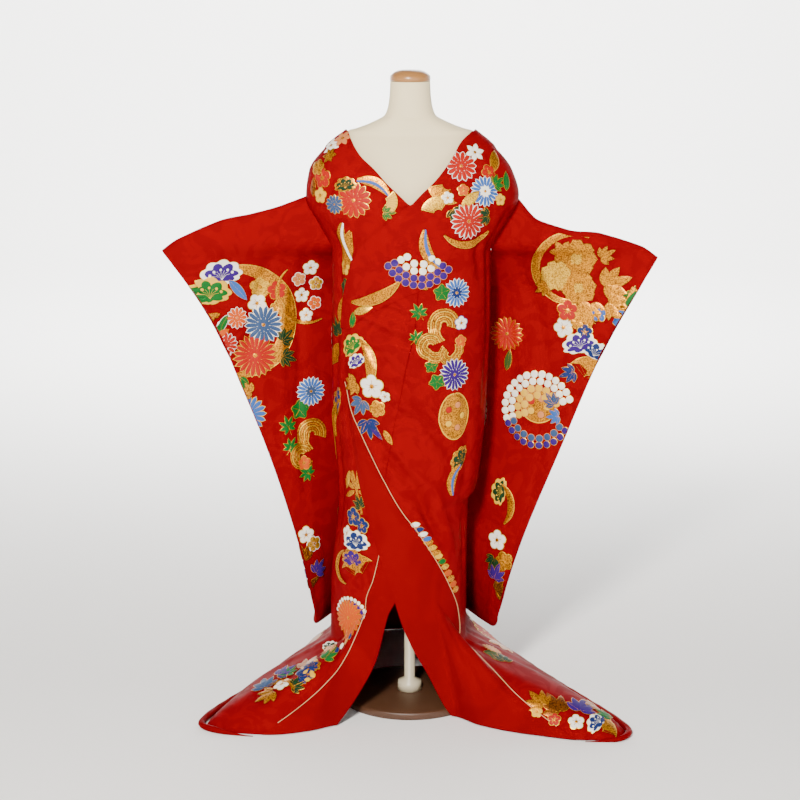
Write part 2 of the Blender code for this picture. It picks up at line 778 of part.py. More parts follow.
def sleeve(side):
    """A sleeve as a flat tube, open at the body, at the wrist and down the inner edge."""
    ends = [0, 0.005, 0.012, 0.022]
    middle = (0.06, 0.11, 0.14, 0.165, 0.19, 0.215, 0.24, 0.28, 0.36, 0.47, 0.58, 0.69, 0.80, 0.91)
    down_it = np.array([*ends, *middle, *[1 - e for e in reversed(ends)]])
    shares = [0, 0.05, 0.12, 0.22, 0.36, 0.50, 0.64, 0.77, 0.89, 1.0]
    length = SLEEVE_TIP[side] - SLEEVE_FOOT[side]
    grid = []
    for share in shares:
        inward = SLEEVE_WIDTH * share
        cut = 0.0
        if inward < SLEEVE_CORNER:
            cut = SLEEVE_CORNER - (SLEEVE_CORNER**2 - (SLEEVE_CORNER - inward) ** 2) ** 0.5
        ring = []
        for down in down_it:
            near_end = min(down, 1 - down) / ends[-1]
            rounding = (1 - (1 - min(near_end, 1)) ** 2) ** 0.5
            at = down * (1 - cut / length)
            ring.append((at, sleeve_half(share, at * length) * rounding))
        front = [sleeve_point(side, share, at, half) for at, half in reversed(ring)]
        back = [sleeve_point(side, share, at, -half) for at, half in ring[1:-1]]
        grid.append(front + back)
    points = np.array(grid)
    if side > 0:
        points = points[:, ::-1]
    mesh = bpy.data.meshes.new("sleeve")
    work = bmesh.new()
    made = [[work.verts.new(p) for p in ring] for ring in points]
    count = len(made[0])
    for one, after in zip(made, made[1:]):
        for k in range(count):
            onward = (k + 1) % count
            work.faces.new((one[k], after[k], after[onward], one[onward]))
    work.to_mesh(mesh)
    work.free()
    piece = new_object("sleeve_" + side_name(side), mesh, brocade())
    solid = piece.modifiers.new("wall", "SOLIDIFY")
    solid.thickness = WALL
    solid.offset = -1
    return piece


def form_body():
    """The limbless form: a smooth closed body lofted through its rings."""
    turns = np.linspace(0, 2 * pi, 33)[:-1]
    work = bmesh.new()
    rings = []
    names = ("side", "front", "back")
    shape = {name: column_of(FORM_RINGS, "height", name) for name in names}
    heights = [row.height for row in FORM_RINGS]
    for height in heights:
        side = min(float(shape["side"](height)), float(RING["right_side"](height)) - SHOULDER_REST)
        if height > NECK_TOP:
            side = float(shape["side"](height))
        ring = []
        for turn in turns:
            across = side * np.sign(np.sin(turn)) * abs(np.sin(turn)) ** FORM_ROUNDNESS
            depth = shape["front"](height) if np.cos(turn) > 0 else shape["back"](height)
            deep = -float(depth) * np.sign(np.cos(turn)) * abs(np.cos(turn)) ** FORM_ROUNDNESS
            ring.append(work.verts.new((across, deep, height)))
        rings.append(ring)
    for high, low in zip(rings, rings[1:]):
        for k in range(len(turns)):
            onward = (k + 1) % len(turns)
            work.faces.new((high[k], low[k], low[onward], high[onward]))
    work.faces.new(rings[0])
    work.faces.new(rings[-1][::-1])
    bmesh.ops.recalc_face_normals(work, faces=work.faces)
    mesh = bpy.data.meshes.new("form_body")
    work.to_mesh(mesh)
    work.free()
    return new_object("form_body", mesh, form_cloth())


def turned(name, profile, finish, steps=28):
    """A turned piece from its profile, (radius, height) from the top down."""
    mesh = bpy.data.meshes.new(name)
    edges = [(i, i + 1) for i in range(len(profile) - 1)]
    mesh.from_pydata([(radius, 0, height) for radius, height in profile], edges, [])
    piece = new_object(name, mesh, finish)
    screw = piece.modifiers.new("turned", "SCREW")
    screw.steps = steps
    screw.render_steps = steps
    screw.use_merge_vertices = True
    screw.merge_threshold = 0.00001
    return piece


def form_cap():
    """The flat-domed wooden cap of the neck."""
    height = CAP_TOP - CAP_FOOT
    dome = [(CAP_RADIUS * s, CAP_FOOT + height * (1 - s**4 * 0.55)) for s in (0, 0.35, 0.6, 0.8, 0.93, 1.0)]
    profile = [*dome, (CAP_RADIUS + 0.0006, CAP_FOOT + 0.006), (CAP_RADIUS, CAP_FOOT), (0, CAP_FOOT)]
    return turned("form_cap", profile, wood())


def stand_pole():
    top = FORM_RINGS[-1].height - GAP
    foot = BASE_THICK + GAP
    profile = [(0, top), (POLE_RADIUS, top), (POLE_RADIUS, foot + 0.03)]
    profile += [(0.028, foot + 0.022), (0.030, foot), (0, foot)]
    return turned("stand_pole", profile, steel(), steps=16)


def stand_base():
    edge = 0.005
    profile = [(0, BASE_THICK), (BASE_RADIUS - edge, BASE_THICK), (BASE_RADIUS, BASE_THICK - edge)]
    profile += [(BASE_RADIUS, edge * 0.4), (BASE_RADIUS - edge * 0.4, 0), (0, 0)]
    return turned("stand_base", profile, dark_wood(), steps=40)


def main():
    for old in list(bpy.data.objects):
        bpy.data.objects.remove(old)
    home = bpy.data.collections.new("uchikake")
    bpy.context.scene.collection.children.link(home)
    form_body()
    form_cap()
    stand_pole()
    stand_base()
    for side in (-1, 1):
        body_panel(side)
        overlap_panel(side)
        lining(side)
        piping_cord(side)
        collar(side)
        hem_roll(side)
        sleeve(side)


main()
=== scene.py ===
# %% [markdown]
# # A red wedding over-kimono on a dress form
# An uchikake is the outermost robe of a Japanese bride: a padded silk robe that trails on
# the floor and is worn open over the others. This notebook dresses the CAD model of one.
# The solids give the true cut. The scene adds what cloth does to them: soft creases, a
# satin ground with a woven watermark, and embroidery in coloured silk and gold thread.

from collections import namedtuple

import bmesh
import bpy
import numpy as np
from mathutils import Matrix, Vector


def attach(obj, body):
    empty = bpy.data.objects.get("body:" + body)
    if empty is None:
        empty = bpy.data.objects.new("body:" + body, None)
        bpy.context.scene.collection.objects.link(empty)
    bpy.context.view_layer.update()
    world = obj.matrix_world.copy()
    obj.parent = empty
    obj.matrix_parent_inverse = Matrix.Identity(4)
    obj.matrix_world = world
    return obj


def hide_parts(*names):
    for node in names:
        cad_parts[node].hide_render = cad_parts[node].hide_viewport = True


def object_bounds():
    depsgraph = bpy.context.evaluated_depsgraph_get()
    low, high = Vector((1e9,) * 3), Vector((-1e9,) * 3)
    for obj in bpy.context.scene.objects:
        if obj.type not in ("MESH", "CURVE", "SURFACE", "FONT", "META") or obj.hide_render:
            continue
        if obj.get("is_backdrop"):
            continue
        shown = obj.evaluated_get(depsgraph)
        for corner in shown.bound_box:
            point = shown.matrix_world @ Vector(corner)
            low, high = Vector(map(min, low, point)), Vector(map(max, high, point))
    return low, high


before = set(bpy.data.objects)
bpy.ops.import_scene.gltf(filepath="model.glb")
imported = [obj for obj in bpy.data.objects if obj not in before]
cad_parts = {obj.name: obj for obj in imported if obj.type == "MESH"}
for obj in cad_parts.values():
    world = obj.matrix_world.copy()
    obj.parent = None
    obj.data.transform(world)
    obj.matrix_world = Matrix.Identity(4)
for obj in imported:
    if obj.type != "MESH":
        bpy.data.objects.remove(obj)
size_at_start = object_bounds()
print("solids:", len(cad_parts))

# %% [markdown]
# ## Colours and nodes
# Colours are picked on a screen, so they are written as sRGB hex values, and one function
# turns them into the linear light that the renderer works in. One more function adds a
# shader node with its settings, its values and its links, so that a material reads as a
# short list.


# %% Colour and node helpers
def linear(hex_colour):
    """An sRGB hex colour as linear light with alpha 1."""
    channels = [int(hex_colour[i : i + 2], 16) / 255 for i in (1, 3, 5)]
    return (*[c / 12.92 if c <= 0.04045 else ((c + 0.055) / 1.055) ** 2.4 for c in channels], 1.0)


def add_node(tree, kind, values=None, links=None, **settings):
    """A node with its settings, its plain input values and its links from other outputs."""
    node = tree.nodes.new(kind)
    for name, value in settings.items():
        setattr(node, name, value)
    for name, value in (values or {}).items():
        node.inputs[name].default_value = value
    for name, output in (links or {}).items():
        tree.links.new(output, node.inputs[name])
    return node


def new_material(name, colour, roughness, **values):
    """A Principled material, and its shader, with constant values on the shader's sockets."""
    made = bpy.data.materials.new(name)
    made.use_nodes = True
    shader = made.node_tree.nodes["Principled BSDF"]
    shader.inputs["Base Color"].default_value = linear(colour)
    shader.inputs["Roughness"].default_value = roughness
    for socket, value in values.items():
        shader.inputs[socket.replace("_", " ")].default_value = value
    made.diffuse_color = linear(colour)
    return made, shader


def thread_grain(made, scale, detail, strength, distance, **more):
    """Fine uneven threads, as a noise that stays with the cloth and tilts the light on it."""
    tree = made.node_tree
    place = add_node(tree, "ShaderNodeTexCoord").outputs["Object"]
    values = {"Scale": scale, "Detail": detail, **more}
    threads = add_node(tree, "ShaderNodeTexNoise", values, {"Vector": place}).outputs["Fac"]
    bump = add_node(tree, "ShaderNodeBump", {"Strength": strength, "Distance": distance}, {"Height": threads})
    tree.links.new(bump.outputs["Normal"], tree.nodes["Principled BSDF"].inputs["Normal"])
    return threads


def in_two_tones(made, level, low, high, dark, light):
    """Dyes a material from dark to light where a pattern's level goes from low to high."""
    tree = made.node_tree
    ramp = add_node(tree, "ShaderNodeValToRGB", links={"Fac": level})
    for stop, place, colour in zip(ramp.color_ramp.elements, (low, high), (dark, light)):
        stop.position = place
        stop.color = linear(colour)
    tree.links.new(ramp.outputs["Color"], tree.nodes["Principled BSDF"].inputs["Base Color"])


print("red at full light:", [round(c, 3) for c in linear("#D0000F")])

# %% [markdown]
# ## The red silk
# The ground is a silk satin with a woven watermark, called a damask: the same red thread
# lies lengthways in the figure and crossways round it, so that the figure shows only by
# how it takes the light. A warped noise makes the drifting cloud shapes, about 34 mm
# across, and a soft step turns it into figure and ground. Silk has an IOR of about 1.54.
# The robe's long floats scatter light along the thread, so its highlight is broad and weak.


# %% Red satin damask
FIGURE_LOW, FIGURE_HIGH = 0.47, 0.54


def damask_material(name, light, dark, figure_mm, roughness):
    made, shader = new_material(name, light, roughness, IOR=1.54, Specular_IOR_Level=0.03)
    # Dyed silk colours the light that it throws back, so its highlight is red too.
    shader.inputs["Specular Tint"].default_value = linear("#FF2418")
    tree = made.node_tree
    place = add_node(tree, "ShaderNodeTexCoord").outputs["Object"]
    warp = {"Scale": 1000 / figure_mm / 1.6, "Detail": 2.5, "Roughness": 0.55, "Distortion": 1.6}
    cloud = add_node(tree, "ShaderNodeTexNoise", warp, {"Vector": place}).outputs["Fac"]
    in_two_tones(made, cloud, FIGURE_LOW, FIGURE_HIGH, dark, light)
    spans = {"From Min": FIGURE_LOW, "From Max": FIGURE_HIGH, "To Min": roughness + 0.08, "To Max": roughness}
    gloss = add_node(tree, "ShaderNodeMapRange", spans, {"Value": cloud})
    tree.links.new(gloss.outputs["Result"], shader.inputs["Roughness"])
    # The satin's threads are 0.2 mm apart, too fine to show, so the grain is drawn 2.5 mm wide.
    thread_grain(made, 400.0, 2.0, 0.10, 0.0006)
    return made


brocade = damask_material("red silk satin damask", "#7A0009", "#720009", 34, 0.52)
lining_silk = damask_material("plain red habutae silk lining", "#740007", "#6E0006", 200, 0.52)
print("cloth:", brocade.name, "and", lining_silk.name)

# %% [markdown]
# ## The embroidery threads
# Flat silk floss has a soft gleam, so each colour is a dielectric with a weak highlight.
# The gold thread is a strip of gilded paper wound round a silk core: real metal to the
# eye, broken up by the winding, so it is metallic with a mottled colour and a rough bump.

# %% Silk and gold threads
SILKS = {
    "white": "#E6E0D2",
    "scarlet": "#9C1000",
    "orange": "#BC4802",
    "peach": "#BC7440",
    "sky": "#2E5698",
    "navy": "#0E2258",
    "green": "#02581A",
    "olive": "#2E4212",
    "pine": "#042C12",
    "purple": "#2E0A64",
    "slate": "#2E4468",
    "straw": "#D0A02A",
}
GOLDS = {
    "gold": ("#D88E00", "#6E3A00"),
    "pale_gold": ("#E4B230", "#A06A0C"),
    "old_gold": ("#945006", "#442202"),
}


def silk_thread(name, colour):
    made, _ = new_material(name + " silk floss", colour, 0.55, IOR=1.54, Specular_IOR_Level=0.15)
    # Floss lies in stitches 1 mm wide, drawn here about 2 mm wide so that they show.
    thread_grain(made, 500.0, 1.0, 0.25, 0.0005)
    return made


def gold_thread(name, bright, deep):
    made, _ = new_material(name.replace("_", " ") + " thread", bright, 0.36, Metallic=0.75)
    # Couched gold runs in rows 1 mm apart. The mottling is drawn about 3 mm wide to show.
    wound = thread_grain(made, 330.0, 2.0, 0.5, 0.0007, Roughness=0.6)
    in_two_tones(made, wound, 0.38, 0.56, deep, bright)
    return made


THREADS = {name: silk_thread(name, colour) for name, colour in SILKS.items()}
THREADS.update({name: gold_thread(name, *tones) for name, tones in GOLDS.items()})
THREAD_ORDER = list(THREADS)
print("threads:", ", ".join(THREAD_ORDER))

# %% [markdown]
# ## The body's surface
# Everything that lies on the body is drawn on one surface. An angle runs round the body
# from the front centre (0) past the wearer's left side (90) to the centre back (180), and
# is negative on the wearer's right. A height runs up from the floor. Rings of named sizes
# give the column, and below them the skirt spreads to a floor line with two trains in
# front and one behind. These are the CAD model's own sizes, so the cloth fits its solids.


# %% Curves through named sizes
def curve_through(knots, values):
    """A smooth function through the values at the knots, level past both ends."""
    knots, values = np.asarray(knots, float), np.asarray(values, float)
    if knots[0] > knots[-1]:
        knots, values = knots[::-1], values[::-1]
    slopes = np.diff(values) / np.diff(knots)
    bends = np.zeros(len(knots))
    same_way = slopes[:-1] * slopes[1:] > 0
    means = 2 * slopes[:-1] * slopes[1:] / np.where(same_way, slopes[:-1] + slopes[1:], 1)
    bends[1:-1] = np.where(same_way, means, 0)
    bends[0], bends[-1] = slopes[0], slopes[-1]

    def value(at):
        at = np.clip(at, knots[0], knots[-1])
        i = np.clip(np.searchsorted(knots, at) - 1, 0, len(knots) - 2)
        step = knots[i + 1] - knots[i]
        t = (at - knots[i]) / step
        start = values[i] * (1 + 2 * t) * (1 - t) ** 2 + bends[i] * step * t * (1 - t) ** 2
        end = values[i + 1] * t * t * (3 - 2 * t) + bends[i + 1] * step * t * t * (t - 1)
        return start + end

    return value


def columns(table):
    """A smooth function of the first column for each other column of a table."""
    rows = np.array(table, float)
    return [curve_through(rows[:, 0], rows[:, k]) for k in range(1, rows.shape[1])]


def eased(low, high, at):
    """0 below low, 1 above high, and a soft step between."""
    t = np.clip((at - low) / (high - low), 0, 1)
    return t * t * (3 - 2 * t)


# height, half width on the wearer's right and left, depth in front and behind
RIGHT_WIDTH, LEFT_WIDTH, FRONT_DEPTH, BACK_DEPTH = columns([
    (1.366, 0.142, 0.145, 0.052, 0.080),
    (1.330, 0.188, 0.189, 0.080, 0.104),
    (1.273, 0.231, 0.234, 0.106, 0.122),
    (1.215, 0.239, 0.250, 0.121, 0.128),
    (1.150, 0.208, 0.217, 0.130, 0.130),
    (1.088, 0.180, 0.186, 0.135, 0.130),
    (0.960, 0.180, 0.186, 0.138, 0.127),
    (0.720, 0.182, 0.178, 0.141, 0.130),
    (0.565, 0.170, 0.163, 0.141, 0.131),
    (0.525, 0.168, 0.154, 0.141, 0.131),
    (0.500, 0.168, 0.138, 0.140, 0.131),
    (0.300, 0.187, 0.135, 0.141, 0.130),
    (0.000, 0.192, 0.137, 0.141, 0.130),
])
# angle, place on the floor across and deep
FLOOR_ACROSS, FLOOR_DEEP = columns([
    (-180, 0.000, 0.500),
    (-160, -0.110, 0.475),
    (-140, -0.200, 0.385),
    (-120, -0.265, 0.265),
    (-105, -0.325, 0.125),
    (-90, -0.395, -0.005),
    (-78, -0.452, -0.115),
    (-70, -0.480, -0.200),
    (-62, -0.425, -0.245),
    (-50, -0.320, -0.262),
    (-40, -0.235, -0.240),
    (-30, -0.170, -0.203),
    (0, -0.010, -0.150),
    (20, 0.100, -0.140),
    (30, 0.163, -0.197),
    (40, 0.226, -0.234),
    (50, 0.301, -0.264),
    (60, 0.405, -0.292),
    (66, 0.465, -0.292),
    (72, 0.499, -0.250),
    (80, 0.460, -0.145),
    (90, 0.405, -0.035),
    (105, 0.335, 0.105),
    (120, 0.270, 0.245),
    (140, 0.200, 0.375),
    (160, 0.110, 0.470),
    (180, 0.000, 0.500),
])
# height, half width of the neck opening on the wearer's right and left
NECK_RIGHT, NECK_LEFT = columns([
    (1.366, 0.142, 0.145),
    (1.341, 0.131, 0.114),
    (1.312, 0.112, 0.096),
    (1.283, 0.080, 0.076),
    (1.256, 0.055, 0.053),
    (1.229, 0.026, 0.024),
    (1.205, 0.001, 0.001),
])
ROUNDNESS = 0.90
SIDE_FLARE, FRONT_FLARE, BACK_FLARE = 0.16, 0.30, 0.38
V_BOTTOM, NECK_BACK, NECK_TOP = 1.205, 1.334, 1.366
HEM_HEIGHT = 0.003
WALL, PLY = 0.0020, 0.0006
UNDER_FRONT = -0.0064
print("girth at the waist:", round(float(RIGHT_WIDTH(0.96) + LEFT_WIDTH(0.96)) * 1000), "mm wide")


# %% The surface without creases
def base_point(angle, height):
    """A point on the outermost cloth, as if it were perfectly smooth."""
    turn = np.radians(angle)
    side = np.where(turn < 0, RIGHT_WIDTH(height), LEFT_WIDTH(height))
    depth = np.where(np.cos(turn) > 0, FRONT_DEPTH(height), BACK_DEPTH(height))
    across = side * np.sign(np.sin(turn)) * np.abs(np.sin(turn)) ** ROUNDNESS
    deep = -depth * np.sign(np.cos(turn)) * np.abs(np.cos(turn)) ** ROUNDNESS
    away = np.abs(angle)
    start = FRONT_FLARE + (SIDE_FLARE - FRONT_FLARE) * eased(10, 72, away)
    rolled = np.clip(1 - np.clip(height / start, 0, 1) ** 1.5, 0, 1) ** 1.25
    trailing = np.clip(1 - height / BACK_FLARE, 0, 1) ** 1.9
    behind = eased(100, 150, away)
    spread = rolled * (1 - behind) + trailing * behind
    across = across + spread * (FLOOR_ACROSS(angle) - across)
    deep = deep + spread * (FLOOR_DEEP(angle) - deep)
    return np.stack([across, deep, height + 0 * across], -1), spread


def outward(angle, height):
    """The direction out of the smooth cloth."""
    round_it = base_point(angle + 0.5, height)[0] - base_point(angle - 0.5, height)[0]
    up = base_point(angle, np.minimum(height + 0.002, NECK_TOP))[0]
    down = base_point(angle, np.maximum(height - 0.002, 0))[0]
    out = np.cross(round_it, up - down)
    return out / np.linalg.norm(out, axis=-1, keepdims=True)


# %% [markdown]
# ## Creases
# Heavy silk creases where it is pulled: the wrap is tight at the wearer's right hip, so
# the front creases fan out from there, down and across. Each crease is a line of a few
# points with a width and a depth, laid one by one and uneven. A trough is negative and a
# ridge is positive. The trains have ridges that run out from the ankles to the hem.

# %% Creases
# (angle, height) points, half width and depth in mm
CREASES = [
    ([(-42, 0.990), (-12, 0.968), (18, 0.925)], 9, -4.5),
    ([(-44, 0.966), (-15, 0.935), (10, 0.905)], 7, 2.5),
    ([(-42, 0.945), (-14, 0.912), (14, 0.872), (34, 0.850)], 9, -4.0),
    ([(-36, 0.900), (-20, 0.862), (-6, 0.815), (6, 0.745)], 11, -5.0),
    ([(-30, 0.850), (-8, 0.776), (12, 0.680), (24, 0.580)], 15, 5.0),
    ([(-34, 0.700), (-20, 0.656), (-4, 0.590), (10, 0.514), (22, 0.440)], 13, -8.0),
    ([(-18, 0.770), (-8, 0.738), (11, 0.694), (32, 0.632)], 10, -4.5),
    ([(-2, 0.762), (12, 0.735), (26, 0.694), (40, 0.672)], 8, -3.0),
    ([(-16, 0.570), (0, 0.540), (14, 0.490), (34, 0.405)], 10, -5.0),
    ([(0, 0.600), (16, 0.560), (34, 0.470), (48, 0.390)], 14, 4.5),
    ([(38, 0.800), (46, 0.700), (50, 0.600), (48, 0.520)], 16, -3.5),
    ([(20, 0.860), (26, 0.800), (40, 0.740)], 9, 2.5),
    ([(-10, 1.120), (10, 1.095), (30, 1.050)], 10, -3.0),
    ([(-40, 1.060), (-20, 1.078), (4, 1.080)], 8, -2.5),
    ([(40, 1.170), (52, 1.110), (58, 1.020)], 12, -3.5),
    ([(-62, 1.150), (-66, 1.060), (-64, 0.960)], 12, -3.5),
    ([(-58, 0.900), (-54, 0.780), (-48, 0.660), (-44, 0.560)], 12, -4.0),
    ([(-50, 0.500), (-46, 0.400), (-44, 0.300)], 10, -3.0),
    ([(66, 1.180), (72, 1.060), (74, 0.900), (70, 0.740)], 13, -4.0),
    ([(62, 0.480), (66, 0.400), (70, 0.300)], 12, -4.0),
    ([(-72, 0.900), (-78, 0.740), (-76, 0.560), (-80, 0.380)], 15, -5.0),
    ([(-118, 1.180), (-124, 1.000), (-128, 0.800), (-132, 0.560)], 14, -5.0),
    ([(-150, 1.060), (-148, 0.860), (-152, 0.640), (-150, 0.420)], 18, -5.0),
    ([(-164, 0.980), (-168, 0.760), (-164, 0.500)], 14, 4.0),
    ([(122, 1.170), (128, 0.980), (126, 0.760), (134, 0.520)], 14, -5.0),
    ([(152, 1.100), (156, 0.900), (150, 0.700), (154, 0.460)], 18, -5.0),
    ([(166, 0.920), (170, 0.700), (166, 0.480)], 13, 4.0),
    ([(96, 0.900), (100, 0.720), (96, 0.520), (100, 0.340)], 14, -4.0),
    ([(-100, 0.860), (-98, 0.660), (-104, 0.460)], 14, -4.0),
    ([(140, 1.240), (160, 1.200), (178, 1.190)], 12, -3.0),
    ([(-138, 1.230), (-158, 1.180), (-176, 1.170)], 12, -3.0),
]
# angle, half width in degrees and height in mm of the ridges that run out to the hem
TRAIN_RIDGES = [
    (-171, 7, 8), (-152, 8, 9), (-133, 7, 8), (-114, 6, 7), (-98, 5, 6), (-84, 4, 5),
    (-57, 5, 6), (-44, 3, -4), (-38, 3, 4), (26, 3, 4), (34, 3, -5), (45, 4, 6),
    (56, 4, -4), (78, 4, 5), (91, 5, 6), (106, 6, 7), (124, 7, 8), (143, 8, 9), (163, 7, 8),
]
print("creases:", len(CREASES), "ridges:", len(TRAIN_RIDGES))

# %% How deep the cloth lies
# metres of cloth for a radian round the body, and how much deeper than measured a crease is drawn
GIRTH_SCALE = 0.155
CREASE_DEPTH = 1.6


def crease_depth(across, up, creases):
    """The sum of creases at places on a flat chart, all in metres."""
    total = np.zeros(np.broadcast(across, up).shape)
    for points, half_width, depth in creases:
        line = np.array(points, float)
        nearest = np.full(total.shape, 9.0)
        along = np.zeros(total.shape)
        lengths = np.linalg.norm(np.diff(line, axis=0), axis=1)
        gone = np.concatenate([[0], np.cumsum(lengths)]) / lengths.sum()
        for start, end, first, last in zip(line, line[1:], gone, gone[1:]):
            step = end - start
            t = np.clip(((across - start[0]) * step[0] + (up - start[1]) * step[1]) / (step @ step), 0, 1)
            gap = np.hypot(across - start[0] - t * step[0], up - start[1] - t * step[1])
            closer = gap < nearest
            nearest = np.where(closer, gap, nearest)
            along = np.where(closer, first + t * (last - first), along)
        fade = np.sin(np.pi * np.clip(along * 0.92 + 0.04, 0, 1)) ** 0.6
        total += CREASE_DEPTH * depth / 1000 * fade * np.exp(-((nearest / (half_width / 1000)) ** 2))
    return total


def on_chart(points):
    return [(np.radians(angle) * GIRTH_SCALE, height) for angle, height in points]


CHART_CREASES = [(on_chart(points), width, depth) for points, width, depth in CREASES]


def drape(angle, height):
    """How far the creased cloth stands out from the smooth cloth."""
    spread = base_point(angle, height)[1]
    depth = crease_depth(np.radians(angle) * GIRTH_SCALE, height, CHART_CREASES)
    depth = depth * eased(0.16, 0.34, height) * (1 - eased(1.22, 1.30, height))
    for middle, width, tall in TRAIN_RIDGES:
        ridge = np.exp(-(((angle - middle) / width) ** 2))
        depth = depth + ridge * tall / 1000 * np.sin(np.pi * np.clip(spread, 0, 1)) ** 0.8
    return depth


def cloth_point(angle, height, layer=0.0):
    """A point of the creased cloth, the layer's distance out from it."""
    angle, height, layer = np.broadcast_arrays(*[np.asarray(v, float) for v in (angle, height, layer)])
    lift = layer + drape(angle, height)
    return base_point(angle, height)[0] + outward(angle, height) * lift[..., None]


waist_creases = drape(np.arange(-180.0, 181.0), np.full(361, 0.9))
print("deepest crease at the waist, mm:", round(1000 * float(waist_creases.min()), 1))

# %% [markdown]
# ## Edges
# The front edges are lines of angle at named heights. The seam joins a body length to its
# overlap panel. The fold is where the front turns outward, and the piping is the real
# edge, which after the turn lies on the outside. The collar follows the neck and then the
# fold, and its outer edge is a line of its own.


# %% Lines of angle
def line_of(*points):
    return columns(points)[0]


LEFT = {
    "side": 1,
    "word": "_left",
    "base": 0.0,
    "seam": line_of((1.205, 0), (1.0, 4), (0.8, -4), (0.6, -16), (0.45, -24), (0.4, -23)),
    "fold": line_of(
        *[(1.205, 0), (1.184, -6.5), (1.154, -15), (1.124, -28), (1.1, -38), (0.954, -58)],
        *[(0.81, -61), (0.72, -54), (0.63, -47.5), (0.554, -41), (0.442, -27.5), (0.336, -14)],
        *[(0.281, -8.5), (0.184, 1), (0.11, 10), (0.022, 17.5), (0, 20)],
    ),
    "piping": line_of(
        *[(0.823, -60.9), (0.754, -50.5), (0.664, -34.5), (0.558, -16.8), (0.48, -1.8)],
        *[(0.316, 38), (0.25, 52), (0.2, 56), (0.136, 50.5), (0.103, 50), (0.035, 54), (0, 58)],
    ),
    "collar": line_of(
        *[(1.334, 90), (1.324, 72), (1.29, 54), (1.227, 44), (1.116, 30), (1.03, 12)],
        *[(0.988, -11), (0.955, -32), (0.916, -50)],
    ),
    "collar_end": 0.920,
    "lining_top": 0.800,
    "overlap_foot": 0.445,
}
RIGHT = {
    "side": -1,
    "word": "_right",
    "base": UNDER_FRONT,
    "seam": line_of((1.205, 0), (1.0, -2), (0.7, 3), (0.45, 1), (0.37, -4)),
    "fold": line_of(
        *[(1.205, 0), (1.12, 24), (1.0, 38), (0.7, 42), (0.5, 30), (0.39, 6), (0.336, -3)],
        *[(0.281, -8.5), (0.25, -12.2), (0.149, -15.5), (0.06, -23), (0, -30)],
    ),
    "piping": line_of(
        *[(0.4, -20), (0.331, -24.5), (0.282, -30), (0.174, -32.5), (0.134, -35)],
        *[(0.099, -39.5), (0.044, -47), (0, -53)],
    ),
    "collar": line_of(
        *[(1.334, -90), (1.324, -72), (1.29, -54), (1.227, -44), (1.116, -32), (1.03, -10), (0.98, 6)],
    ),
    "collar_end": 0.980,
    "lining_top": 0.400,
    "overlap_foot": 0.400,
}
BACK_COLLAR = line_of((1.334, 90), (1.316, 104), (1.276, 128), (1.256, 150))


def front_layer(half, angle, height):
    """The wearer's right front sinks under the left one, where the two cross."""
    sunk = eased(-84, -64, angle) * (1 - eased(1.235, 1.300, height))
    return 0 * angle if half["side"] > 0 else UNDER_FRONT * sunk


def neck_angle(half, height):
    """The angle of the neck's edge at a height above the bottom of the V."""
    side = half["side"]
    reach = NECK_LEFT(height) if side > 0 else NECK_RIGHT(height)
    wide = LEFT_WIDTH(height) if side > 0 else RIGHT_WIDTH(height)
    return side * np.degrees(np.arcsin(np.clip(reach / wide, 0, 1) ** (1 / ROUNDNESS)))


def front_end(half, height):
    side, seam, fold = half["side"], half["seam"](height), half["fold"](height)
    below = np.maximum(seam, fold) if side > 0 else np.minimum(seam, fold)
    return np.where(height > V_BOTTOM, neck_angle(half, height) + side * 0.8, below + side * 0.12)


def back_end(half, height):
    share = np.clip((height - NECK_BACK) / (NECK_TOP - NECK_BACK), 0, 1)
    return half["side"] * (180 - 0.13 - 84 * share**0.6)


def collar_inner(half, height):
    return np.where(height > V_BOTTOM, neck_angle(half, height), half["fold"](height) - half["side"] * 0.5)


print("the left front's fold, degrees at each 0.4 m:", np.round(LEFT["fold"](np.arange(0, 1.3, 0.4)), 1))

# %% [markdown]
# ## Cloth from rows
# A kimono is sewn from straight lengths, so each piece is a grid: rows of points between
# its two edges at many heights. The grid is one thin skin, and a Solidify modifier gives
# it the wall of silk, padding and lining, with the lining's red on the inside.


# %% Grid and skin helpers
def link_mesh(name, points, faces, materials):
    mesh = bpy.data.meshes.new(name)
    mesh.from_pydata([tuple(p) for p in points], [], faces)
    for material in materials:
        mesh.materials.append(material)
    piece = bpy.data.objects.new(name, mesh)
    bpy.context.scene.collection.objects.link(piece)
    mesh.shade_smooth()
    return piece


def thicken(piece, wall=0.0016):
    solid = piece.modifiers.new("wall", "SOLIDIFY")
    solid.thickness = wall
    solid.offset = -1
    solid.material_offset = 1
    solid.material_offset_rim = 1
    for edge in boundary_edges(piece.data):
        edge.use_edge_sharp = True
    return piece


def boundary_edges(mesh):
    """The edges that only one face uses."""
    used = np.zeros(len(mesh.edges), int)
    ids = np.zeros(len(mesh.loops), int)
    mesh.loops.foreach_get("edge_index", ids)
    np.add.at(used, ids, 1)
    return [mesh.edges[i] for i in np.flatnonzero(used == 1)]


def grid_piece(name, angles, heights, layer, materials, left_out=None):
    """A skin from rows of angles, one row for each height."""
    rows, columns_ = angles.shape
    tall = np.repeat(np.asarray(heights, float)[:, None], columns_, 1)
    points = cloth_point(angles, tall, layer(angles, tall)).reshape(-1, 3)
    facing = 1 if angles[0, -1] > angles[0, 0] or angles[-1, -1] > angles[-1, 0] else -1
    faces = []
    for j in range(rows - 1):
        for i in range(columns_ - 1):
            if left_out is not None and left_out[j, i]:
                continue
            a, b = j * columns_ + i, j * columns_ + i + 1
            corners = (a, a + columns_, b + columns_, b)
            faces.append(corners if facing > 0 else corners[::-1])
    piece = link_mesh(name, points, faces, materials)
    weld(piece.data)
    return thicken(piece)


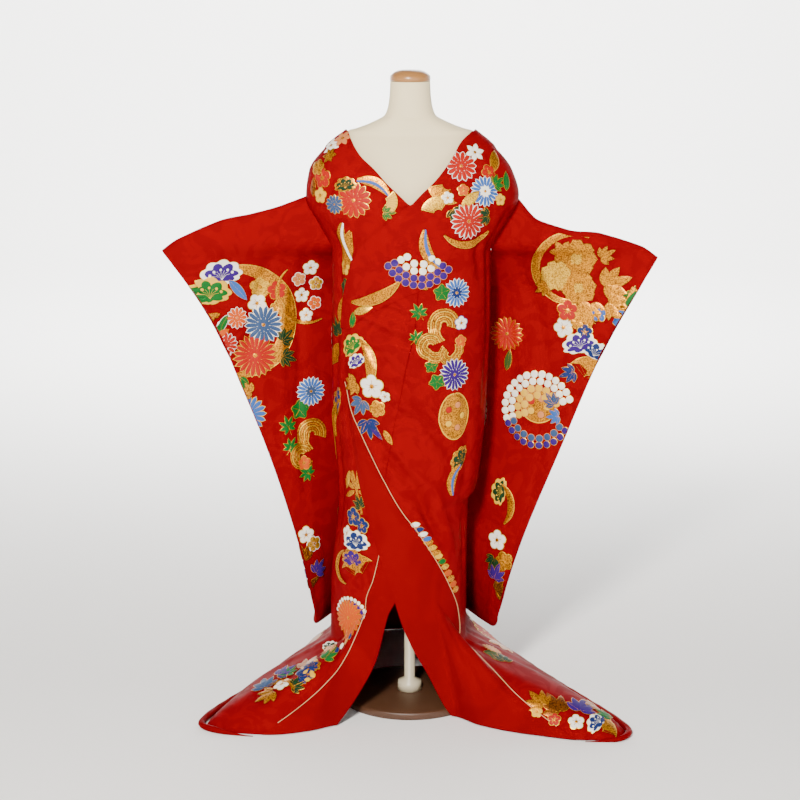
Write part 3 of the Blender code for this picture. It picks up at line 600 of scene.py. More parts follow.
def weld(mesh):
    work = bmesh.new()
    work.from_mesh(mesh)
    bmesh.ops.remove_doubles(work, verts=work.verts, dist=0.00001)
    bmesh.ops.dissolve_degenerate(work, edges=work.edges, dist=0.00001)
    work.to_mesh(mesh)
    work.free()


def heights_between(top, foot):
    """Rows that come closer near the floor, where the cloth lies flatter."""
    upper = np.arange(top, max(foot, 0.24), -0.005)
    lower = [] if foot > 0.24 else 0.24 * np.linspace(1, 0, 75) ** 1.35
    rows = np.concatenate([upper, np.array(lower)])
    rows = rows[(rows > foot + 0.001) & (rows < top - 0.001)]
    return np.concatenate([[top], rows, [foot]])


def stands_for(piece, node):
    """Hides the solid that the piece dresses, and hangs the piece on the root body."""
    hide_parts(node)
    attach(piece, "root")
    return piece


def spread_columns(start, end, count):
    t = np.linspace(0, 1, count)[None, :]
    return start[:, None] * (1 - t) + end[:, None] * t


# %% [markdown]
# ## The two body lengths
# Each half of the body is one length of cloth, from the front hem over the shoulder to
# the back hem. At the side it is slit, where the sleeve is sewn on and hangs free below.

# %% Body lengths
SLOT_TOP, SLOT_FOOT, SLOT_HALF = 1.213, 0.980, 5.0


def body_length(half):
    side, name = half["side"], "body" + half["word"]
    heights = heights_between(1.362, HEM_HEIGHT)
    heights[np.argmin(abs(heights - SLOT_TOP))] = SLOT_TOP
    heights[np.argmin(abs(heights - SLOT_FOOT))] = SLOT_FOOT
    slot_front = np.full(len(heights), side * (90 - SLOT_HALF))
    slot_back = np.full(len(heights), side * (90 + SLOT_HALF))
    front = spread_columns(front_end(half, heights), slot_front, 64)
    slot = spread_columns(slot_front, slot_back, 7)
    back = spread_columns(slot_back, back_end(half, heights), 56)
    angles = np.hstack([front, slot[:, 1:], back[:, 1:]])
    open_slot = np.zeros((len(heights) - 1, angles.shape[1] - 1), bool)
    in_slot = (heights[:-1] <= SLOT_TOP + 1e-6) & (heights[1:] >= SLOT_FOOT - 1e-6)
    open_slot[in_slot, 63:69] = True
    layer = lambda a, h: front_layer(half, a, h)
    piece = grid_piece(name + "_cloth", angles, heights, layer, [brocade, lining_silk], open_slot)
    return stands_for(piece, name)


body_cloths = {half["side"]: body_length(half) for half in (RIGHT, LEFT)}
print({p.name: len(p.data.polygons) for p in body_cloths.values()})

# %% [markdown]
# ## Overlap panels, collar and turned-out lining
# The overlap panel widens each front so that it can wrap. The collar is a folded strip
# sewn round the neck and down the fronts. Below the hips both fronts are turned outward,
# so their plain red lining shows as an upside-down V.


# %% Overlaps, collar and lining
OVERLAP_TOP, FRONT_COLUMNS = 1.160, 34


def front_piece(kind, half, high, top, foot, base, materials):
    name = kind + half["word"]
    heights = heights_between(top, foot)
    angles = spread_columns(half["fold"](heights), high(heights), FRONT_COLUMNS)
    piece = grid_piece(name + "_cloth", angles, heights, lambda a, h: base + 0 * a, materials)
    return stands_for(piece, name)


def overlap(half):
    """The panel from the fold to the seam, on the same layer as its body length."""
    side, base = half["side"], half["base"]
    high = lambda h: half["seam"](h) - side * 0.12
    silks = [brocade, lining_silk]
    return front_piece("overlap", half, high, OVERLAP_TOP, half["overlap_foot"], base, silks)


def turned_lining(half):
    """The part of the front that is turned outward, on top of the body length."""
    base, silks = half["base"] + WALL + PLY, [lining_silk, lining_silk]
    return front_piece("lining", half, half["piping"], half["lining_top"], HEM_HEIGHT, base, silks)


def collar_half(half):
    """The shoulder part, the back part and the front part, welded into one strip."""
    side, name = half["side"], "collar" + half["word"]
    parts = (
        (1.362, NECK_BACK, lambda h: collar_inner(half, h), lambda h: back_end(half, h), 96),
        (NECK_BACK, 1.256, lambda h: side * BACK_COLLAR(h), lambda h: back_end(half, h), 56),
        (NECK_BACK, half["collar_end"], lambda h: collar_inner(half, h), half["collar"], 40),
    )
    points, faces = [], []
    for top, foot, low, high, count in parts:
        heights = heights_between(top, foot)
        angles = spread_columns(low(heights), high(heights), count)
        tall = np.repeat(heights[:, None], count, 1)
        layer = front_layer(half, angles, tall) + WALL + PLY
        start = len(points)
        points.extend(cloth_point(angles, tall, layer).reshape(-1, 3))
        for j in range(len(heights) - 1):
            for i in range(count - 1):
                a = start + j * count + i
                corners = (a, a + count, a + count + 1, a + 1)
                faces.append(corners if side > 0 else corners[::-1])
    piece = link_mesh(name + "_cloth", points, faces, [brocade, lining_silk])
    weld(piece.data)
    thicken(piece)
    return stands_for(piece, name)


overlaps = {half["side"]: overlap(half) for half in (RIGHT, LEFT)}
linings = {half["side"]: turned_lining(half) for half in (RIGHT, LEFT)}
collars = {half["side"]: collar_half(half) for half in (RIGHT, LEFT)}
print([p.name for group in (overlaps, linings, collars) for p in group.values()])

# %% [markdown]
# ## The sleeves
# An uchikake's sleeve is a long flat bag. It is sewn to the body only at the top of its
# inner edge, is open at the wrist down to the cuff's end, and hangs free below. In plan
# its cloth runs from the wrist edge straight in towards the body, and lower down round
# the body's back. A table of that plan line at many heights makes every later point cheap.

# %% Sleeve sizes
# height, reach of the wrist edge on the wearer's right and left
CUFF_RIGHT, CUFF_LEFT = columns([
    (1.300, 0.680, 0.690),
    (1.090, 0.576, 0.582),
    (1.018, 0.522, 0.544),
    (0.903, 0.449, 0.476),
    (0.780, 0.400, 0.419),
    (0.644, 0.346, 0.366),
    (0.508, 0.300, 0.311),
    (0.409, 0.271, 0.272),
    (0.312, 0.246, 0.240),
    (0.200, 0.226, 0.212),
    (0.150, 0.222, 0.206),
])
# share of the width from the seam to the tip, rise of the top edge over a straight line
TOP_RIGHT, TOP_LEFT = columns([
    (0.00, 0.000, 0.014),
    (0.16, 0.000, -0.020),
    (0.36, 0.006, -0.016),
    (0.60, 0.018, 0.005),
    (0.88, 0.012, 0.011),
    (1.00, 0.000, 0.000),
])
SLEEVE_RISE, SLEEVE_WIDTH, SLEEVE_CORNER = 0.125, 0.345, 0.065
CUFF_OPENING, SLEEVE_CLEAR, SEAM_CLEAR = 0.250, 0.018, 0.0003
SLOT_END, SWING_FOOT = 1.088, 1.000
# Soft diagonal creases: (across from the middle, height) in metres, half width and depth in mm
SLEEVE_CREASES = {
    -1: [
        ([(0.270, 1.180), (0.330, 1.050), (0.370, 0.900), (0.380, 0.760)], 16, -3.5),
        ([(0.250, 1.120), (0.285, 0.980), (0.300, 0.820), (0.290, 0.640)], 13, 3.0),
        ([(0.225, 1.060), (0.250, 0.900), (0.255, 0.700), (0.245, 0.480)], 12, -3.5),
        ([(0.420, 1.120), (0.450, 1.060), (0.440, 0.980)], 14, 2.5),
        ([(0.340, 0.700), (0.300, 0.520), (0.262, 0.360)], 13, 2.5),
    ],
    1: [
        ([(0.215, 1.170), (0.255, 1.040), (0.300, 0.900), (0.315, 0.780)], 14, -5.0),
        ([(0.245, 1.190), (0.300, 1.060), (0.345, 0.940), (0.360, 0.840)], 15, 3.5),
        ([(0.222, 1.060), (0.240, 0.920), (0.262, 0.780), (0.262, 0.620)], 12, 3.0),
        ([(0.420, 1.140), (0.470, 1.080), (0.480, 1.000)], 14, -2.5),
        ([(0.330, 0.740), (0.300, 0.560), (0.262, 0.380)], 13, -3.0),
    ],
}


print("sleeves:", SLEEVE_WIDTH, "m wide, creases:", [len(SLEEVE_CREASES[side]) for side in (-1, 1)])


# %% One sleeve's plan and faces
class Sleeve:
    """The sleeve of one side: its plan lines, and its two faces over (across, height)."""

    def __init__(self, side):
        self.side = side
        self.cuff = CUFF_LEFT if side > 0 else CUFF_RIGHT
        self.rise = TOP_LEFT if side > 0 else TOP_RIGHT
        self.tip, self.foot = (1.072, 0.167) if side > 0 else (1.088, 0.175)
        self.heights = np.linspace(0.13, 1.34, 243)
        self.distances = np.linspace(0, 0.80, 201)
        lines = [self.plan_line(height) for height in self.heights]
        self.reach = np.array([line[1] for line in lines])
        plan = np.array([self.resampled(line[0]) for line in lines])
        # The twist between the sewn part and the hanging part is spread over 14 cm of height.
        rows = np.arange(len(plan))
        soft = np.mean([plan[np.clip(rows + k, 0, len(plan) - 1)] for k in range(-14, 15)], axis=0)
        share = 1 - eased(SLOT_END - 0.03, SLOT_END + 0.03, self.heights)
        self.plan = plan + (soft - plan) * share[:, None, None]

    def plan_line(self, height):
        """The line in plan at a height, and its length where it ends at the seam."""
        cuff = np.array([self.side * float(self.cuff(height)), 0.0])
        turns = np.arange(90.0, 179.0, 1.0)
        ring = self.beside(turns, height, SLEEVE_CLEAR)
        rays = ring - cuff
        touch = int(np.argmax(np.arctan2(rays[:, 1], -self.side * rays[:, 0])))
        swing = 1 - float(eased(SWING_FOOT, SLOT_END, height))
        if swing == 1:
            return np.array([cuff, *ring[touch:]]), 9.0
        turn = np.array([90 + swing * (turns[touch] - 90)])
        clear = SEAM_CLEAR + (SLEEVE_CLEAR - SEAM_CLEAR) * swing**2
        end = self.beside(turn, height, clear)[0]
        return np.array([cuff, end]), float(np.linalg.norm(end - cuff))

    def beside(self, turns, height, clear):
        angle = self.side * turns
        tall = np.full(len(turns), height)
        out = outward(angle, tall)
        level = np.linalg.norm(out[:, :2], axis=1, keepdims=True)
        return base_point(angle, tall)[0][:, :2] + out[:, :2] / level**2 * clear

    def resampled(self, line):
        steps = np.linalg.norm(np.diff(line, axis=0), axis=1)
        gone = np.concatenate([[0], np.cumsum(steps)])
        # Past its end the line goes straight on, so that every distance has a place.
        heading = (line[-1] - line[-2]) / steps[-1]
        line = np.vstack([line, line[-1] + heading * 0.8])
        gone = np.append(gone, gone[-1] + 0.8)
        return np.stack([np.interp(self.distances, gone, line[:, k]) for k in (0, 1)], -1)

    def place(self, height, distance):
        """Plan positions from the table, between its rows and columns."""
        j = np.clip((height - self.heights[0]) / (self.heights[1] - self.heights[0]), 0, 241.999)
        i = np.clip(distance / (self.distances[1] - self.distances[0]), 0, 199.999)
        j0, i0 = j.astype(int), i.astype(int)
        tj, ti = (j - j0)[..., None], (i - i0)[..., None]
        upper = self.plan[j0, i0] * (1 - ti) + self.plan[j0, i0 + 1] * ti
        lower = self.plan[j0 + 1, i0] * (1 - ti) + self.plan[j0 + 1, i0 + 1] * ti
        return upper * (1 - tj) + lower * tj

    def measures(self, share, down):
        """Cuff height, point height and distance in from the wrist at a place of the cut."""
        cuff_height = self.tip + (self.foot - self.tip) * down
        slope = SLEEVE_RISE * (1 - 1.1 * eased(0.45, 1.0, down))
        width = SLEEVE_WIDTH * (1.05 - 0.31 * eased(0.30, 0.95, down))
        seam_height = cuff_height + slope
        reach = np.interp(seam_height, self.heights, self.reach)
        width = np.minimum(width, reach - self.cuff(seam_height) + self.cuff(cuff_height))
        rise = self.rise(1 - share) * (1 - eased(0, 0.45, down))
        height = cuff_height + slope * share + rise
        return height, self.cuff(height) - self.cuff(cuff_height) + width * share

    def half(self, share, drop):
        """Half the thickness, with the wrist and the armhole open."""
        mouth = 0.0026 + 0.0114 * (1 - eased(CUFF_OPENING - 0.03, CUFF_OPENING + 0.01, drop))
        seam = 0.009 + 0.005 * (1 - eased(0.10, 0.16, drop))
        near_cuff, near_seam = 1 - eased(0.0, 0.16, share), eased(0.80, 1.0, share)
        return 0.011 + (mouth - 0.011) * near_cuff + (seam - 0.011) * near_seam

    def point(self, share, down, half, lift=0.0):
        """A point this far in front of the sleeve's middle (behind it if half is negative)."""
        height, distance = self.measures(share, down)
        here = self.place(height, distance)
        ahead = self.place(height, distance + 0.012) - self.place(height, np.maximum(distance - 0.012, 0))
        ahead /= np.linalg.norm(ahead, axis=-1, keepdims=True)
        front = np.stack([-ahead[..., 1], ahead[..., 0]], -1) * self.side
        across = self.cuff(height) - distance
        quiet = eased(0, 0.10, share) * (1 - eased(0.88, 1, share)) * eased(0, 0.06, down)
        crease = crease_depth(across, height, SLEEVE_CREASES[self.side])
        # A crease goes through both layers, so the back follows the front.
        crease = crease * quiet * (1 - eased(0.93, 1, down))
        plan = here + front * (half + np.sign(half) * lift + crease)[..., None]
        return np.concatenate([plan, height[..., None]], -1)

    def rings(self, shares, downs):
        """For each share, (down, half thickness) pairs with a rounded top, foot and corner."""
        length = self.tip - self.foot
        inward = np.minimum(SLEEVE_WIDTH * shares, SLEEVE_CORNER)
        cut = SLEEVE_CORNER - np.sqrt(SLEEVE_CORNER**2 - (SLEEVE_CORNER - inward) ** 2)
        at = downs[None, :] * (1 - cut[:, None] / length)
        near_end = np.minimum(np.minimum(downs, 1 - downs) / 0.022, 1)
        rounding = np.sqrt(1 - (1 - near_end) ** 2)
        return at, self.half(shares[:, None], at * length) * rounding[None, :]


print("swings free below", SLOT_END, "m, wholly below", SWING_FOOT, "m")


# %% The two sleeves
def sleeve_piece(side):
    sleeve = Sleeve(side)
    ends = 0.022 * (1 - np.cos(np.linspace(0, np.pi / 2, 8)))
    downs = np.concatenate([ends[:-1], np.linspace(0.022, 0.978, 118), 1 - ends[-2::-1]])
    shares = np.concatenate([np.linspace(0, 0.2, 16)[:-1], np.linspace(0.2, 1, 48)])
    at, half = sleeve.rings(shares, downs)
    tall = np.repeat(shares[:, None], len(downs), 1)
    front = sleeve.point(tall, at, np.maximum(half, 1e-7))
    back = sleeve.point(tall, at, -np.maximum(half, 1e-7))[:, 1:-1]
    around = np.concatenate([front[:, ::-1], back], 1)
    count = around.shape[1]
    faces = []
    for j in range(len(shares) - 1):
        for k in range(count):
            a, b = j * count + k, j * count + (k + 1) % count
            corners = (a, a + count, b + count, b)
            faces.append(corners if side < 0 else corners[::-1])
    name = "sleeve_left" if side > 0 else "sleeve_right"
    piece = link_mesh(name + "_cloth", around.reshape(-1, 3), faces, [brocade, lining_silk])
    thicken(piece)
    return sleeve, stands_for(piece, name)


sleeves = {side: sleeve_piece(side) for side in (-1, 1)}
print({p.name: len(p.data.polygons) for _, p in sleeves.values()})

# %% [markdown]
# ## Hem roll and piping
# The hem of an uchikake is a padded roll of the lining's red, 16 mm thick, that weighs the
# skirt down. Along the turned-out fronts runs a fine piping with a wrapped thread. Both
# are round tubes along a path, so a curve with a round bevel makes them.

# %% Round tubes
HEM_ROLL, CORD = 0.0080, 0.0015


def tube_piece(node, path, radius, material, slot_name, rounds=4):
    data = bpy.data.curves.new(node + "_silk", "CURVE")
    data.dimensions = "3D"
    data.bevel_depth = 1.0
    data.bevel_resolution = rounds
    data.use_fill_caps = True
    line = data.splines.new("POLY")
    line.points.add(len(path) - 1)
    for k, (point, place) in enumerate(zip(line.points, path)):
        point.co = (*place, 1)
        point.radius = radius[k] if np.ndim(radius) else radius
    line.use_smooth = True
    data.materials.append(material)
    piece = bpy.data.objects.new(node + "_silk", data)
    bpy.context.scene.collection.objects.link(piece)
    return stands_for(piece, node)


def hem_path(half):
    """The roll's middle, beside the hem and on the floor, with the padding's soft lumps."""
    side = half["side"]
    angles = side * np.arange(abs(float(half["piping"](0))) + 1.5, 180.01, 1.0)
    hem = base_point(angles, np.full(len(angles), HEM_HEIGHT))[0][:, :2]
    heading = np.gradient(hem, axis=0)
    heading /= np.linalg.norm(heading, axis=1, keepdims=True)
    out = np.stack([heading[:, 1], -heading[:, 0]], 1) * side
    reach = HEM_ROLL + PLY
    aside = (reach**2 - (reach - HEM_HEIGHT) ** 2) ** 0.5
    middle = hem + out * aside
    radius = HEM_ROLL * (1 - 0.05 - 0.05 * np.sin(angles * 0.9) * np.sin(angles * 0.37 + 1))
    radius = radius * (0.12 + 0.88 * eased(0, 12, np.abs(angles) - abs(angles[0])))
    return np.column_stack([middle, radius + PLY]), radius


for half in (RIGHT, LEFT):
    roll = tube_piece("hem_roll" + half["word"], *hem_path(half), lining_silk, "lining", 6)


def piping_path(half):
    side, layer = half["side"], half["base"]
    heights = np.arange(0.795 if side > 0 else 0.395, 0.026, -0.003)
    angles = half["piping"](heights)
    here = cloth_point(angles, heights, layer + CORD + 0.0012)
    onward = cloth_point(angles + side, heights, layer + CORD + 0.0012) - here
    return here + onward / np.linalg.norm(onward, axis=1, keepdims=True) * (CORD + 0.0022)


piping_silk, _ = new_material("gilt and pink piping silk", "#C08A58", 0.40, IOR=1.54, Sheen_Weight=0.2)
for half in (RIGHT, LEFT):
    line = piping_path(half)
    tube_piece("edge_cord" + half["word"], line, CORD * 0.65, piping_silk, "cord")
    length = np.linalg.norm(np.diff(line, axis=0), axis=1).sum()
    print("edge_cord" + half["word"], round(float(length), 2), "m long")

# %% [markdown]
# ## The dress form
# The form is padded, then covered in cream jersey that is drawn smooth and tight. It has
# no limbs. A turned wooden cap closes its neck, and a painted steel pole on a wooden base
# carries it, almost all of it hidden by the skirt. A loft through rings gives a smooth
# body, and a profile turned about the axis gives the rest.

# %% Form, cap, pole and base
# height, half width, depth in front and behind
FORM_SIDE, FORM_FRONT, FORM_BACK = columns([
    (1.4740, 0.0455, 0.0455, 0.0455),
    (1.4500, 0.0465, 0.0465, 0.0475),
    (1.4200, 0.0500, 0.0480, 0.0520),
    (1.3980, 0.0580, 0.0490, 0.0560),
    (1.3820, 0.0860, 0.0460, 0.0600),
    (1.3680, 0.1220, 0.0460, 0.0640),
    (1.3560, 0.1700, 0.0470, 0.0690),
    (1.3440, 0.1850, 0.0530, 0.0760),
    (1.3300, 0.1860, 0.0610, 0.0840),
    (1.3000, 0.1880, 0.0750, 0.0940),
    (1.2500, 0.1800, 0.0930, 0.1030),
    (1.1800, 0.1640, 0.1040, 0.1060),
    (1.1000, 0.1500, 0.1080, 0.1010),
    (1.0200, 0.1380, 0.1020, 0.0950),
    (0.9300, 0.1400, 0.1010, 0.1000),
    (0.8500, 0.1460, 0.1010, 0.1060),
    (0.7800, 0.1420, 0.0980, 0.1040),
    (0.7500, 0.1300, 0.0880, 0.0920),
    (0.7400, 0.1050, 0.0680, 0.0720),
])
FORM_ROUNDNESS, SHOULDER_REST = 0.94, 0.0041
print("form: half width at the shoulder", round(float(FORM_SIDE(1.33)), 3))


# %% The padded body of the form
def form_piece():
    turns = np.linspace(0, 2 * np.pi, 97)[:-1]
    heights = np.concatenate([np.linspace(1.474, 1.330, 60), np.linspace(1.325, 0.745, 90), [0.742, 0.740]])
    side = FORM_SIDE(heights)
    limit = RIGHT_WIDTH(heights) - SHOULDER_REST
    side = np.where(heights > NECK_TOP, side, np.minimum(side, limit))[:, None]
    depth = np.where(np.cos(turns) > 0, FORM_FRONT(heights)[:, None], FORM_BACK(heights)[:, None])
    across = side * (np.sign(np.sin(turns)) * np.abs(np.sin(turns)) ** FORM_ROUNDNESS)
    deep = -depth * np.sign(np.cos(turns)) * np.abs(np.cos(turns)) ** FORM_ROUNDNESS
    points = np.stack([across, deep, np.repeat(heights[:, None], 96, 1)], -1).reshape(-1, 3)
    faces = [tuple(range(96))[::-1], tuple(range(96 * (len(heights) - 1), 96 * len(heights)))]
    for j in range(len(heights) - 1):
        for k in range(96):
            onward = (k + 1) % 96
            faces.append((j * 96 + k, j * 96 + onward, j * 96 + 96 + onward, j * 96 + 96 + k))
    return link_mesh("form_body_cover", points, faces, [form_cover])


room = float(RIGHT_WIDTH(1.1) - FORM_SIDE(1.1))
print("the robe hangs", round(1000 * room), "mm clear of the form's side at 1.1 m")


# %% Turned pieces
TURN_STEPS = 72


def turned_piece(name, profile, material):
    """A profile of (radius, height), from the top down, turned about the upright axis."""
    edges = [(i, i + 1) for i in range(len(profile) - 1)]
    mesh = bpy.data.meshes.new(name)
    mesh.from_pydata([(radius, 0, height) for radius, height in profile], edges, [])
    mesh.materials.append(material)
    piece = bpy.data.objects.new(name, mesh)
    bpy.context.scene.collection.objects.link(piece)
    screw = piece.modifiers.new("turned", "SCREW")
    screw.steps = screw.render_steps = TURN_STEPS
    screw.use_merge_vertices = True
    screw.merge_threshold = 0.00001
    mesh.shade_smooth()
    for edge in mesh.edges:
        edge.use_edge_sharp = False
    return piece


flat_spot = 165 * (1 - np.cos(np.pi / TURN_STEPS))
print("the base's edge is round within", round(float(flat_spot), 2), "mm")

# %% Materials and profiles of the form
form_cover, _ = new_material("cream cotton jersey form cover", "#E4D3A8", 0.85, IOR=1.50, Sheen_Weight=0.15)
# The jersey's loops are under 1 mm, drawn 2 mm wide so that the weave shows at all.
thread_grain(form_cover, 500.0, 1.0, 0.12, 0.0005)
cap_wood, _ = new_material("varnished maple cap", "#9A6A38", 0.32, IOR=1.50, Coat_Weight=0.3)
pole_metal, _ = new_material("cream painted steel pole", "#C9BDA0", 0.35, IOR=1.50)
# The base is tan wood. Its dark brown colour is painted shade: the shade that lies on its top under the
# skirt.
base_wood, _ = new_material("beech base darkened by painted shade", "#4A2E1C", 0.45, IOR=1.50)

CAP_FOOT, CAP_RADIUS, CAP_TOP = 1.4743, 0.0455, 1.500
dome = [(CAP_RADIUS * s, CAP_FOOT + (CAP_TOP - CAP_FOOT) * (1 - s**4 * 0.55)) for s in np.linspace(0, 1, 16)]
cap_profile = [*dome, (CAP_RADIUS + 0.0006, CAP_FOOT + 0.006), (CAP_RADIUS, CAP_FOOT), (0, CAP_FOOT)]
pole_profile = [(0, 0.7397), (0.0125, 0.7397), (0.0125, 0.048), (0.028, 0.0403), (0.030, 0.0183), (0, 0.0183)]
base_edge = [(0.160, 0.018), (0.1635, 0.0165), (0.165, 0.013), (0.165, 0.002), (0.163, 0)]
base_profile = [(0, 0.018), *base_edge, (0, 0)]
form_pieces = [
    (form_piece(), "form_body", "form_cover"),
    (turned_piece("form_cap_turned", cap_profile, cap_wood), "form_cap", "cap_wood"),
    (turned_piece("stand_pole_turned", pole_profile, pole_metal), "stand_pole", "pole_metal"),
    (turned_piece("stand_base_turned", base_profile, base_wood), "stand_base", "base_wood"),
]
for piece, node, slot_name in form_pieces:
    stands_for(piece, node)
print("form:", [piece.name for piece, _, _ in form_pieces])

# %% [markdown]
# ## Stitches
# The pattern is embroidered in raised satin stitch, with a couched outline of white or
# gold thread round each petal. Two shapes build every motif: a blob, which is a small
# dome inside an outline with its own rim, and a band, which is a domed strip along a path.
# A motif is drawn flat, in millimetres about its own middle, and only then laid on the
# cloth, so one drawing serves everywhere.

# %% Blobs and bands
BASE_LIFT, TIER_LIFT, EDGE_LIFT, LEVEL_LIFT = 0.50, 0.22, 0.10, 1.0
MESH_STEP = 5.0


class Stitches:
    """The embroidery of one panel: flat points with their lift, faces and threads."""

    def __init__(self):
        self.flat, self.faces, self.threads, self.homes = [], [], [], []
        self.places = []
        self.turn, self.level = 0.0, 0

    def start(self, place, turn, level):
        self.places.append(place)
        self.turn, self.level = np.radians(turn), level

    def lifts(self, tier):
        """The lift of a shape's edge and of its upper face, in mm."""
        base = BASE_LIFT + TIER_LIFT * tier + LEVEL_LIFT * self.level
        return (EDGE_LIFT if tier + self.level == 0 else base - 0.30), base

    def add_points(self, points, lifts):
        points = np.asarray(points, float)
        c, s = np.cos(self.turn), np.sin(self.turn)
        x, y = points[:, 0] * c - points[:, 1] * s, points[:, 0] * s + points[:, 1] * c
        first = len(self.flat)
        lifts = np.broadcast_to(lifts, len(points))
        self.flat.extend(zip(x, y, lifts))
        self.homes.extend([len(self.places) - 1] * len(points))
        return first

    def add_face(self, corners, thread):
        self.faces.append(corners)
        self.threads.append(THREAD_ORDER.index(thread))

    def blob(self, outline, fill, rim=None, rim_width=1.3, tier=0, dome=0.5):
        """A domed shape inside an outline that runs counter-clockwise, with an even rim."""
        outline = np.asarray(outline, float)
        middle = outline.mean(0)
        spokes = outline - middle
        # The rim is even on a long petal too, so it is measured along and across the shape.
        axes = np.linalg.eigh(spokes.T @ spokes)[1]
        extent = np.abs(spokes @ axes).max(0)
        shrink = np.maximum(1 - (rim_width if rim else 0.8) / extent, 0.25)
        body = (spokes @ axes * shrink) @ axes.T
        edge, base = self.lifts(tier)
        steps = max(1, int(np.ceil(np.linalg.norm(body, axis=1).mean() / MESH_STEP)))
        count = len(outline)
        rings = [self.add_points(outline, edge)]
        for scale in np.linspace(1, 0, steps + 1)[:-1]:
            rings.append(self.add_points(middle + body * scale, base + dome * (1 - scale**2)))
        top = self.add_points([middle], base + dome)
        for k, (outer, inner) in enumerate(zip(rings, rings[1:])):
            for i in range(count):
                j = (i + 1) % count
                self.add_face((outer + i, outer + j, inner + j, inner + i), (rim or fill) if k == 0 else fill)
        for i in range(count):
            self.add_face((rings[-1] + i, rings[-1] + (i + 1) % count, top), fill)

    def band(self, path, widths, fill, tier=0, dome=0.4):
        """A domed strip along a path, as wide as the widths say."""
        path = np.asarray(path, float)
        widths = np.broadcast_to(widths, len(path)).astype(float)
        heading = np.gradient(path, axis=0)
        heading /= np.linalg.norm(heading, axis=1, keepdims=True) + 1e-9
        aside = np.stack([-heading[:, 1], heading[:, 0]], 1)
        across = np.linspace(-1, 1, max(3, 2 + int(np.ceil(widths.max() / MESH_STEP))))
        edge, base = self.lifts(tier)
        lines = []
        for t in across:
            lift = edge if abs(t) == 1 else base + dome * (1 - t * t)
            lines.append(self.add_points(path + aside * (widths * t / 2)[:, None], lift))
        for right, left in zip(lines, lines[1:]):
            for i in range(len(path) - 1):
                self.add_face((right + i, right + i + 1, left + i + 1, left + i), fill)


def polar(radius, angle):
    turn = np.radians(angle)
    return np.stack([radius * np.cos(turn), radius * np.sin(turn)], -1)


def disc(x, y, radius, count=10):
    return polar(radius, np.arange(count) * 360 / count) + (x, y)


def spindle(start, end, width, angle, blunt=0.55, count=6):
    """A petal or leaf outline from one radius to another, along an angle."""
    t = np.linspace(0, 1, count + 1)
    half = width / 2 * t**0.75 * (1 - t) ** blunt / (0.58**0.75 * 0.42**blunt)
    x = start + (end - start) * t
    outline = np.vstack([np.stack([x, -half], 1), np.stack([x[-2:0:-1], half[-2:0:-1]], 1)])
    turn = np.radians(angle)
    c, s = np.cos(turn), np.sin(turn)
    return outline @ np.array([[c, s], [-s, c]])


def faces_of(figure, *sizes, **looks):
    """How many faces a figure takes, sewn alone."""
    sample = Stitches()
    sample.start((0, 0), 0, 0)
    figure(sample, *sizes, **looks)
    return len(sample.faces)


print("a disc's edge and top lie", Stitches().lifts(0), "mm above the cloth")

# %% [markdown]
# ## The motifs
# These are the stock figures of wedding silks: chrysanthemums, plum blossom, pine clouds,
# maple, bamboo, wisteria, folding fans and streams. Each is a short function of its size
# and threads. Petals, scales and needles are too fine to count, so each has about as many
# as can be told apart from a step away.


# %% Flowers
def chrysanthemum(work, r, colour, rim="white", heart="gold", petals=18, inner=None):
    for k in range(petals):
        petal = spindle(0.10 * r, r, 4.7 * r / petals, k * 360 / petals, 0.40)
        work.blob(petal, colour, rim, 0.014 * r + 0.7, tier=k % 2, dome=0.7)
    for k in range(petals // 2):
        petal = spindle(0.04 * r, 0.44 * r, 4.4 * r / petals, (k + 0.25) * 720 / petals, 0.45)
        work.blob(petal, inner or colour, rim, 0.012 * r + 0.5, tier=2)
    work.blob(disc(0, 0, 0.10 * r), heart, tier=3)


def plum(work, r, colour, rim="pale_gold", heart="gold"):
    for k in range(5):
        x, y = polar(0.54 * r, k * 72 + 90)
        work.blob(disc(x, y, 0.47 * r, 12), colour, rim, max(1.0, 0.08 * r), tier=k % 2)
    for k in range(5):
        work.band([polar(0.1 * r, k * 72 + 90), polar(0.5 * r, k * 72 + 90)], 1.2, heart, tier=3)
    work.blob(disc(0, 0, 0.17 * r), heart, tier=3)


def star(work, r, colour, rim="gold", heart="gold", petals=6):
    for k in range(petals):
        work.blob(spindle(0.05 * r, r, 3.4 * r / petals, k * 360 / petals, 0.9), colour, rim, 1.2, tier=k % 2)
    work.blob(disc(0, 0, 0.16 * r), heart, tier=2)


def peony(work, r, colour="gold", rim="old_gold", heart="pale_gold"):
    for tier, (reach, size, count) in enumerate(((0.66, 0.40, 8), (0.40, 0.34, 6), (0.17, 0.26, 4))):
        for k in range(count):
            angle = k * 360 / count + tier * 20
            x, y = polar(reach * r, angle)
            turn = np.arange(18) * 20
            waves = polar(size * r * (1 + 0.10 * np.cos(np.radians(turn) * 6)), turn)
            work.blob(waves + (x, y), heart if tier == 2 else colour, rim, 1.4, tier=tier, dome=0.8)


print("faces of a chrysanthemum 80 mm across:", faces_of(chrysanthemum, 40, "scarlet"))


# %% Leaves
def leaf(work, length, width, colour, rim="gold", vein="gold"):
    work.blob(spindle(-length / 2, length / 2, width, 0, 0.9, 8), colour, rim, 1.1)
    work.band([(-length * 0.4, 0), (0, 0), (length * 0.4, 0)], 1.1, vein, tier=1)


def sprig(work, r, colour, rim="gold", leaves=5, width=0.34):
    """Leaves that spread from one foot, the middle one longest."""
    for k in range(leaves):
        lean = (k - (leaves - 1) / 2) * 34
        long = r * (1 - abs(lean) / 200)
        work.blob(spindle(0, long, r * width, 90 + lean, 0.9, 7), colour, rim, 1.2, tier=k % 2)
        work.band([polar(long * 0.15, 90 + lean), polar(long * 0.8, 90 + lean)], 1.0, rim, tier=2)


